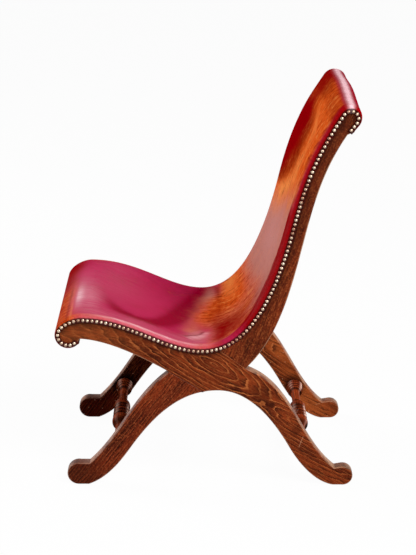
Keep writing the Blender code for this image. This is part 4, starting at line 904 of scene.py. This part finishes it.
marks = {
    # amber: tan wear, and painted warm reflections on the upper back, in the crook and on the front
    "amber": upper + crook * (1 - 0.34 * nearSide) + (0.40 + 0.45 * nearSide) * stripe(0.098, 0.024) + 0.55 * (1 - past(sGrid - 0.080, 0.020))
    + 0.36 * salmon,
    # gold: bright tan wear with painted warm reflections and highlights
    "gold": 0.45 * np.exp(-((x - cornerEdge - 0.060) / 0.060) ** 2) * within(0.75, 0.98, 0.04)
    + 0.50 * np.exp(-((sGrid - paleTop - 0.01) / 0.055) ** 2) + 0.20 * blob(0.955, 0.03, 0.06, 0.12)
    + 0.80 * crook * blob(0.482, 0.040, -0.19, 0.10) + 0.6 * stripe(0.1165, 0.003) * smoothStep(x, 0.03, 0.12),
    # brown: dark stain, and painted dark reflections in the upper corner and the crook
    "brown": 0.34 * darkSpot + 0.20 * crook * inward + 0.55 * blob(0.448, 0.014, -0.165, 0.06) + 0.38 * within(0.996, 1.040, 0.014)
    + 0.75 * corner * past(cornerEdge - x + 0.012, 0.055) * (1 - 0.60 * past(sGrid - 0.965, 0.04)) + 0.5 * stripe(0.1085, 0.004) * nearSide + 0.30 * stripe(0.086, 0.026) + 0.35 * (1 - past(sGrid - 0.075, 0.020)),
    # deep: dark red dye, partly painted dark reflections, with painted shade along the fold's crease
    "deep": corner * past(cornerEdge - x - 0.060, 0.065) * (1 - 0.45 * past(sGrid - 0.975, 0.035)) + 0.22 * within(0.99, 1.04, 0.015)
    + edges * smoothStep(sGrid, 0.47, 0.58) * (1 - 0.45 * backRoll) + 0.8 * smoothStep(x, 0.166, 0.196) * within(0.56, 0.77, 0.05)
    + (0.85 - 0.38 * nearSide) * stripe(0.088, 0.036) + 0.72 * past(sGrid - 1.036, 0.008) + 0.5 * (1 - past(sGrid - 0.07, 0.012)) + 0.34 * darkSpot + 0.30 * crook * inward + 0.22 * stripe(0.445, 0.020) + 0.32 * blob(0.118, 0.022, -0.19, 0.06)
    + 0.30 * blob(0.585, 0.045, 0.12, 0.07) + 0.30 * blob(0.505, 0.035, 0.15, 0.07) + 0.7 * softLine(0.0045, *folds[0]),
    # rose: painted reflections of a pale surround on the lower back and round the crook, laid as pale wear
    "rose": past(sGrid - crookEdge - 0.015, 0.025) * (1 - past(sGrid - 0.93, 0.06))
    + 0.40 * salmon + 0.66 * blob(0.432, 0.020, -0.15, 0.07) + 0.42 * blob(0.400, 0.030, 0.145, 0.055),
    # wine: dark red dye; its crescent is a painted dark reflection in the seat's hollow
    "wine": crescent + 0.35 * within(0.325, 0.43, 0.05) * (1 - crook),
    # sheen: painted highlights on the seat's nose and near roll, along the crest, beside the fold and on the back
    "sheen": 0.64 * blob(0.1275, 0.0080, 0.072, 0.062) * smoothStep(sGrid, 0.1190, 0.1245) + 0.24 * blob(0.152, 0.024, 0.08, 0.09) + 0.62 * seatRoll
    + 1.40 * stripe(1.0475, 0.0046) + 0.02 * backRoll + 0.25 * softLine(0.008, *[(a + 0.012, b + 0.008) for a, b in folds[0]])
    + 0.10 * smoothStep(x, 0.12, 0.19) * within(0.14, 0.39, 0.03) + 0.05 * blob(0.20, 0.06, -0.14, 0.14) + 0.06 * blob(0.425, 0.035, 0.206, 0.014) + 0.20 * blob(0.398, 0.028, 0.150, 0.050) + 0.13 * blob(0.655, 0.060, -0.08, 0.13),
    "polish": 0.022 * (1 - past(sGrid - 0.42, 0.03)) * smoothStep(x, -0.20, -0.10) + 0.05 * within(0.560, 0.745, 0.03) + 0.14 * stripe(1.0475, 0.005)
    + 0.35 * blob(0.13, 0.02, 0.05, 0.12) + 0.08 * blob(0.20, 0.09, -0.05, 0.10) + 0.35 * seatRoll,
    # painted shade on the flaps under the nails, at the hide's ends and along the fold's crease
    "paintedShade": np.maximum(flaps, tips) + 0.32 * softLine(0.0055, *folds[0]) * (1 - flaps),
}
for key in ("amber", "brown", "rose", "gold"):  # the rolled edges keep their dye without the tan wear and painted reflections, but at the front
    marks[key] = marks[key] * (1 - edges**3 * smoothStep(sGrid, 0.100, 0.145))
marks["amber"] = marks["amber"] + 0.40 * edges * within(0.105, 0.45, 0.02) + 0.45 * backRoll
girth = np.concatenate([[0], np.cumsum(np.linalg.norm(np.diff(points[cover["rows"] // 3], axis=0), axis=1))])
flat = np.stack([np.broadcast_to(girth - girth[-1] / 2, x.shape), sGrid], axis=-1)
hide = makePiece("coverHide", points, cells(*x.shape).tolist(), coverLeather,
                 ["leather_cover"], flat, 0, marks)
thicken(hide, cover["thickness"])
print("hide made, cut", round(float(girth[-1]), 3), "by", round(float(sEnd), 3), "m")


# Nails

nails = {
    "inset": 0.0045, "pitch": 0.0098, "radius": 0.0040, "height": 0.0030, "margin": 0.006, "crossInset": 0.0055,
    "sides": 10, "bright": (204, 182, 159), "dull": (154, 114, 92), "dark": (30, 16, 9), "roughness": 0.25, "tarnish": 0.16,
}


def brassFinish(name, look):
    made = Finish(name)
    place = made.node("TexCoord", output="Object")
    patch, fine = made.noise(place, 42.0, 3.0), made.noise(place, 420.0, 3.0)
    colour = made.mix(made.band(patch, 0.38, 0.66), tone(*look["bright"]), tone(*look["dull"]))
    # painted shade and tarnish, darkest round the base of each head
    colour = made.mix(made.mark("shadeAndTarnish") * 0.85, colour, tone(*look["dark"]))
    rough = look["roughness"] + (patch - 0.5) * 0.3 + made.mark("shadeAndTarnish") * 0.2
    return made.surface(colour=colour, metallic=1.0, roughness=rough, normal=made.bump(fine, 0.0002, 0.5))


brass = brassFinish("nailBrass", nails)
chance = np.random.default_rng(11)


def nailHeads(name, centres, out, node):
    # a low dome on each centre: rings at angle a from the top, radius R sin a and height H cos a, then a
    # short skirt; each head is a little off its place, size and tilt
    count, sides = len(centres), nails["sides"]
    out = out + chance.normal(0, 0.05, out.shape)
    out = out / np.linalg.norm(out, axis=1, keepdims=True)
    first = np.cross(out, np.array([0.31, 0.47, 0.83]))
    first = first / np.linalg.norm(first, axis=1, keepdims=True)
    second = np.cross(out, first)
    size = (1 + chance.normal(0, 0.025, count))[:, None, None]
    centres = centres + (first * chance.normal(0, 1, (count, 1)) + second * chance.normal(0, 1, (count, 1))) * 0.00015
    angle = np.radians([0, 28, 54, 76, 90])
    wide = nails["radius"] * np.append(np.sin(angle), 0.97)
    tall = np.append(nails["height"] * np.cos(angle), -0.0006)
    turn = np.linspace(0, 2 * np.pi, sides, endpoint=False)
    circle = (first[:, None] * np.cos(turn)[None, :, None] + second[:, None] * np.sin(turn)[None, :, None])
    rings = centres[:, None, None] + (circle[:, None] * wide[None, 1:, None, None] * size[..., None]
                                      + out[:, None, None] * tall[None, 1:, None, None])
    top = centres + out * tall[0]
    points = np.concatenate([top[:, None], rings.reshape(count, -1, 3)], axis=1)
    each = points.shape[1]
    wheel = np.arange(sides)
    fan = [[0, 1 + i, 1 + (i + 1) % sides] for i in range(sides)]
    band = (1 + cells(len(wide) - 1, sides, True)[:, ::-1]).tolist()
    base = (1 + (len(wide) - 2) * sides + wheel)[::-1].tolist()
    faces = [[corner + number * each for corner in face] for number in range(count) for face in fan + band + [base]]
    # painted shade round the base of each head and under it, more where a ring is low and faces down and back, and
    # tarnish on the nails from 0.40 to 0.76 m up
    low = np.array([0.08, 0.30, 0.76, 1.0, 1.0])[None, :, None]
    down = (circle[:, None, :, 1] * 0.55 - circle[:, None, :, 2] * 0.80) * np.array([0.25, 0.5, 0.6, 0.5, 0.0])[None, :, None]
    low = low + nails["tarnish"] * (smoothStep(centres[:, 2], 0.40, 0.48) * (1 - smoothStep(centres[:, 2], 0.68, 0.76)))[:, None, None]
    shadeAndTarnish = np.concatenate([np.zeros((count, 1)), np.clip(low + down, 0, 1).reshape(count, -1)], axis=1)
    return makePiece(name, points, faces, brass, [node], None, 0, {"shadeAndTarnish": shadeAndTarnish})


nailLine = line - lineOut * nails["inset"]
nailS = lengthsOf(nailLine)
nailCount = int((nailS[-1] - 2 * nails["margin"]) / nails["pitch"]) + 1
at = np.linspace(nails["margin"], nailS[-1] - nails["margin"], nailCount)
place = np.stack([np.interp(at, nailS, nailLine[:, i]) for i in range(2)], axis=1)
faceX = side["halfWidth"] + cover["thickness"] + 2 * side["gap"]
for key, sign in (("left", 1.0), ("right", -1.0)):
    centres = np.column_stack([np.full(nailCount, sign * faceX), place])
    nailHeads(key + "Nails", centres, np.tile([sign, 0.0, 0.0], (nailCount, 1)), key + "_nail_row")
crossCount = int(2 * (side["halfWidth"] - nails["margin"]) / nails["pitch"])
crossX = (np.arange(crossCount) - (crossCount - 1) / 2) * nails["pitch"]
for key, where in (("front", nails["crossInset"]), ("crest", sEnd - nails["crossInset"])):
    row, out = lineAt(np.array([where]))
    lift = np.full((1, crossCount), cover["thickness"] + 3 * side["gap"])
    centres = onLine(np.array([where]), crossX[None], lift)[0]
    nailHeads(key + "Nails", centres, np.tile([0.0, *out[0]], (crossCount, 1)), key + "_nail_row")
print("nails made:", 2 * nailCount + 2 * crossCount)


# Webbing, hessian, stuffing and linings

sling = {
    "straps": 11, "strapWidth": 0.050, "strapThickness": 0.0012, "strapBearing": 0.014, "margin": 0.008,
    "sag": 0.020, "hessianThickness": 0.0008, "hessianBearing": 0.016, "stuffingBearing": 0.021,
    "stuffingStart": 0.030, "stuffingEdge": 0.0012, "stuffingStep": 0.016,
    "jute": (176, 138, 88), "juteDark": (104, 74, 40), "stripe": (120, 40, 30),
    "hessian": (168, 134, 90), "hessianDark": (92, 68, 40), "hair": (52, 38, 28), "hairLight": (110, 84, 60),
    "linen": (30, 28, 27), "linenLight": (54, 50, 48),
}


def weaveFinish(name, light, dark, pitch, stripe=None):
    # plain weave: where sin(u) sin(v) is positive the cross thread is on top, else the long thread
    made = Finish(name)
    flat = made.flat()
    u = made.node("SeparateXYZ", None, {0: flat})
    v = u.twin(1)
    a, b = (u * (math.pi / pitch)).math("SINE"), (v * (math.pi / pitch)).math("SINE")
    over = made.band(a * b, -0.15, 0.15)
    thread = over * a.math("ABSOLUTE") + (1.0 - over) * b.math("ABSOLUTE")
    slub = made.noise(made.stretch(flat, (60.0, 420.0, 1.0)), 1.0, 3.0)
    fuzz = made.noise(flat, 900.0, 3.0)
    share = made.band(thread + (slub - 0.5) * 0.9, 0.10, 0.95)
    colour = made.mix(share, tone(*dark), tone(*light))
    if stripe:  # two coloured lines along a strap, near its edges
        off = (v.math("ABSOLUTE") - 0.017).math("ABSOLUTE")
        colour = made.mix((1.0 - made.band(off, 0.0012, 0.0026)) * 0.75, colour, tone(*stripe))
    height = thread + fuzz * 0.4 + slub * 0.4
    return made.surface(colour=colour, roughness=0.9, gloss=0.15, normal=made.bump(height, pitch * 0.25))


def hairFinish(name, look):
    # curled hair: noise bent by more noise, so that its ridges run like loose strands
    made = Finish(name)
    place = made.node("TexCoord", output="Object")
    settings = {"Vector": place, "Scale": 130.0, "Detail": 6.0, "Roughness": 0.7, "Distortion": 3.0}
    strand = made.node("TexNoise", None, settings)
    colour = made.mix(made.band(strand, 0.35, 0.7), tone(*look["hair"]), tone(*look["hairLight"]))
    return made.surface(colour=colour, roughness=0.85, gloss=0.2, normal=made.bump(strand, 0.003))


jute = weaveFinish("juteWebbing", sling["jute"], sling["juteDark"], 0.0018, sling["stripe"])
hessianCloth = weaveFinish("hessianWeave", sling["hessian"], sling["hessianDark"], 0.0022)
linen = weaveFinish("blackLinen", sling["linenLight"], sling["linen"], 0.0011)
hair = hairFinish("curledHair", sling)
sSlingStart = sFrontRail + sling["margin"]
strapBase = side["gap"]
hessianBase = strapBase + sling["strapThickness"] + side["gap"]
stuffingBase = hessianBase + sling["hessianThickness"] + side["gap"]


def slingHeight(s, x, base):  # rests on the frames at both sides and sags as a parabola between them
    sag = sling["sag"] * ((s >= sSlingStart - 1e-6) & (s <= sSlingEnd + 1e-6))
    return base - sag[:, None] * np.clip(1 - (x / side["halfOpening"]) ** 2, 0, None)[None]


def laidSheet(name, start, end, half, base, rows, columns, material, node, thickness):
    s, x = np.linspace(start, end, rows), np.linspace(-half, half, columns)
    points = onLine(s, x[None], slingHeight(s, x, base))
    across = np.broadcast_to(x[None], (rows, columns))
    along = np.broadcast_to((s - (start + end) / 2)[:, None], (rows, columns))
    flat = np.stack([across, along], axis=-1)
    piece = makePiece(name, points, cells(rows, columns).tolist(), material, [node], flat)
    thicken(piece, thickness)
    return piece


bearing = side["halfOpening"] + sling["strapBearing"]
middles = np.linspace(sSlingStart + sling["strapWidth"] / 2, sSlingEnd - sling["strapWidth"] / 2, sling["straps"])
for number, middle in enumerate(middles, 1):
    name = f"strap_{number:02d}"
    low, high = middle - sling["strapWidth"] / 2, middle + sling["strapWidth"] / 2
    strap = laidSheet(name, low, high, bearing, strapBase, 9, 49, jute,
                      f"webbing_strap_{number:02d}", sling["strapThickness"])
bearing = side["halfOpening"] + sling["hessianBearing"]
hessian = laidSheet("hessian", sSlingStart, sSlingEnd, bearing, hessianBase, 180, 61, hessianCloth,
                    "hessian_cloth", sling["hessianThickness"])


def stuffingPiece(name, start, end, node):
    # a closed pad: its underside lies on the hessian, its top just under the hide as it settled
    rows = np.flatnonzero((hideS > start) & (hideS < end))
    columns = np.flatnonzero(np.abs(hideX[len(hideS) // 2]) < side["halfOpening"] + sling["stuffingBearing"])
    s, x = hideS[rows], hideX[len(hideS) // 2][columns]
    ramp = ((sFrontRail - sling["stuffingStart"], side["gap"]), (sFrontRail, stuffingBase),
            (sSlingEnd, stuffingBase), (sSlingEnd + sling["stuffingStep"], side["gap"]))
    under = onLine(s, x[None], slingHeight(s, x, easeKeys(s, ramp)[:, None]))
    out = np.concatenate([np.zeros((len(s), 1)), lineAt(s)[1]], axis=1)[:, None]
    over = hidePoints[np.ix_(rows, columns)] - out * 2 * side["gap"]
    rings = np.concatenate([under, over[:, ::-1]], axis=1)
    faces = [face[::-1] for face in tubeFaces(len(s), rings.shape[1])]
    piece = makePiece(name, rings, faces, hair, [node], None, 2)
    return piece


padRange = np.linspace(sCrest + cover["crestPadLength"], sCrest, 200)
sStuffingEnd = float(np.interp(sling["stuffingEdge"], easeKeys(padRange, padKeys), padRange))
stuffingPiece("seatStuffing", sFrontRail - sling["stuffingStart"], sJoint - side["gap"] / 2, "seat_stuffing")
stuffingPiece("backStuffing", sJoint + side["gap"] / 2, sStuffingEnd, "back_stuffing")

linings = {
    "backDepth": 0.027, "backThickness": 0.002, "backClearance": 0.030, "backSwell": 0.0025,
    "dustDepth": 0.040, "dustThickness": 0.001, "dustSag": 0.004, "crookRail": 0.022,
}


def depthWhere(depth, y):  # distance whose point, this deep under the sitting line, has this y
    rows = slice(runStart[2] + 5, runStart[4])
    return float(np.interp(y, (line[:, 0] - lineOut[:, 0] * depth)[rows], lineS[rows]))


def lining(name, start, end, depth, swell, material, node, thickness):
    # a sheet between the frames, bellied a little: swell (1 - (x/half)^2) in the middle of its length
    half = side["halfOpening"] - side["gap"]
    s, x = np.linspace(start, end, 120), np.linspace(-half, half, 45)
    middle = np.sin(np.pi * (s - start) / (end - start))[:, None]
    points = onLine(s, x[None], -depth - swell * middle * (1 - (x / half) ** 2)[None])
    across, along = np.broadcast_to(x[None], (120, 45)), np.broadcast_to(s[:, None] - start, (120, 45))
    piece = makePiece(name, points, cells(120, 45)[:, ::-1].tolist(), material, [node],
                      np.stack([across, along], axis=-1))
    thicken(piece, thickness)
    return piece


behind = side["low"][0] + linings["crookRail"] / 2 + 2 * side["gap"]
before = side["low"][0] - linings["crookRail"] / 2 - 2 * side["gap"]
backStart, backEnd = depthWhere(linings["backDepth"], behind), sCrest - linings["backClearance"]
backPanel = lining("backPanel", backStart, backEnd, linings["backDepth"], linings["backSwell"], backLeather,
                   "back_panel", linings["backThickness"])
dustStart, dustEnd = sFrontRail + 2 * side["gap"], depthWhere(linings["dustDepth"], before)
dustCover = lining("dustCover", dustStart, dustEnd, linings["dustDepth"], linings["dustSag"], linen,
                   "dust_cover", linings["dustThickness"])
print("upholstery layers made")


# Floor, light and camera

studio = {
    "floorShade": 0.90, "floorGlow": 0.96, "worldLight": 0.22,
    "lamps": (  # place, point looked at, size, watts
        ((2.3, 1.9, 3.3), (0.0, 0.0, 0.4), 2.0, 105.0),
        ((-1.4, -3.0, 1.8), (0.0, 0.1, 0.5), 2.0, 75.0),
        ((3.2, 1.4, 1.7), (0.0, 0.0, 0.4), 1.8, 42.0),
    ),
    "camera": (3.8763, -0.0180, 1.5528), "yaw": 0.361, "pitch": 16.455, "roll": 0.307,
    "lens": 116.69, "shift": (-0.3 / 555, 0.3 / 555),
}


def floorFinish(name, look):
    # a pale floor; to the eye it glows near white, and part of its shade stays so that the shadow shows
    made = Finish(name)
    place = made.node("TexCoord", output="Object")
    shade = made.mix(made.noise(place, 3.0, 2.0), (look["floorShade"],) * 3 + (1.0,), (look["floorShade"] + 0.03,) * 3 + (1.0,))
    made.surface(colour=shade, roughness=0.9, gloss=0.0)
    glow = made.node("Emission", None, {"Color": (1.0, 1.0, 1.0, 1.0), "Strength": 1.0})
    path = made.node("LightPath")
    seen = path.math("MAXIMUM", path.twin("Is Glossy Ray")).math("MAXIMUM", path.twin("Is Transmission Ray"))
    body = Wire(made, made.shader.outputs[0])
    mixed = made.node("MixShader", None, {0: seen * look["floorGlow"], 1: body, 2: glow})
    made.feed(made.tree.nodes["Material Output"].inputs["Surface"], mixed)
    return made.material


floorMesh = bpy.data.meshes.new("floor")
floorMesh.from_pydata([(-20, -20, 0), (20, -20, 0), (20, 20, 0), (-20, 20, 0)], [], [(0, 1, 2, 3)])
floorMesh.materials.append(floorFinish("paleFloor", studio))
floor = bpy.data.objects.new("floor", floorMesh)
scene.collection.objects.link(floor)
for number, (place, target, size, watts) in enumerate(studio["lamps"], 1):
    light = bpy.data.lights.new(f"lamp{number}", "AREA")
    light.shape, light.size, light.energy = "DISK", size, watts
    lamp = bpy.data.objects.new(f"lamp{number}", light)
    back = np.array(place) - np.array(target)
    back = back / np.linalg.norm(back)
    right = np.cross([0.0, 0.0, 1.0], back)
    right = right / np.linalg.norm(right)
    turnRows = np.column_stack([right, np.cross(back, right), back])
    lamp.matrix_world = Matrix.Translation(place) @ Matrix(turnRows.tolist()).to_4x4()
    scene.collection.objects.link(lamp)

world = bpy.data.worlds.new("studio")
world.use_nodes = True
scene.world = world
tree = world.node_tree
background = tree.nodes["Background"]
background.inputs["Color"].default_value = (1.0, 1.0, 1.0, 1.0)
path = tree.nodes.new("ShaderNodeLightPath")
seen = tree.nodes.new("ShaderNodeMath")
seen.operation = "MAXIMUM"
tree.links.new(path.outputs["Is Camera Ray"], seen.inputs[0])
tree.links.new(path.outputs["Is Glossy Ray"], seen.inputs[1])
through = tree.nodes.new("ShaderNodeMath")
through.operation = "MAXIMUM"
tree.links.new(seen.outputs[0], through.inputs[0])
tree.links.new(path.outputs["Is Transmission Ray"], through.inputs[1])
strength = tree.nodes.new("ShaderNodeMapRange")
strength.inputs["To Min"].default_value = studio["worldLight"]
tree.links.new(through.outputs[0], strength.inputs["Value"])
tree.links.new(strength.outputs[0], background.inputs["Strength"])

yaw, pitch, roll = (math.radians(studio[key]) for key in ("yaw", "pitch", "roll"))
forward = np.array([-math.cos(yaw) * math.cos(pitch), math.sin(yaw) * math.cos(pitch), -math.sin(pitch)])
right = np.cross(forward, [0.0, 0.0, 1.0])
right = right / np.linalg.norm(right)
up = np.cross(right, forward)
right, up = right * math.cos(roll) + up * math.sin(roll), up * math.cos(roll) - right * math.sin(roll)
lens = bpy.data.cameras.new("camera")
lens.lens, lens.sensor_width, lens.clip_end = studio["lens"], 36.0, 100.0
lens.shift_x, lens.shift_y = studio["shift"]
camera = bpy.data.objects.new("camera", lens)
turnRows = np.column_stack([right, up, -forward])
camera.matrix_world = Matrix.Translation(studio["camera"]) @ Matrix(turnRows.tolist()).to_4x4()
scene.collection.objects.link(camera)
scene.camera = camera
scene.view_settings.view_transform = "Standard"
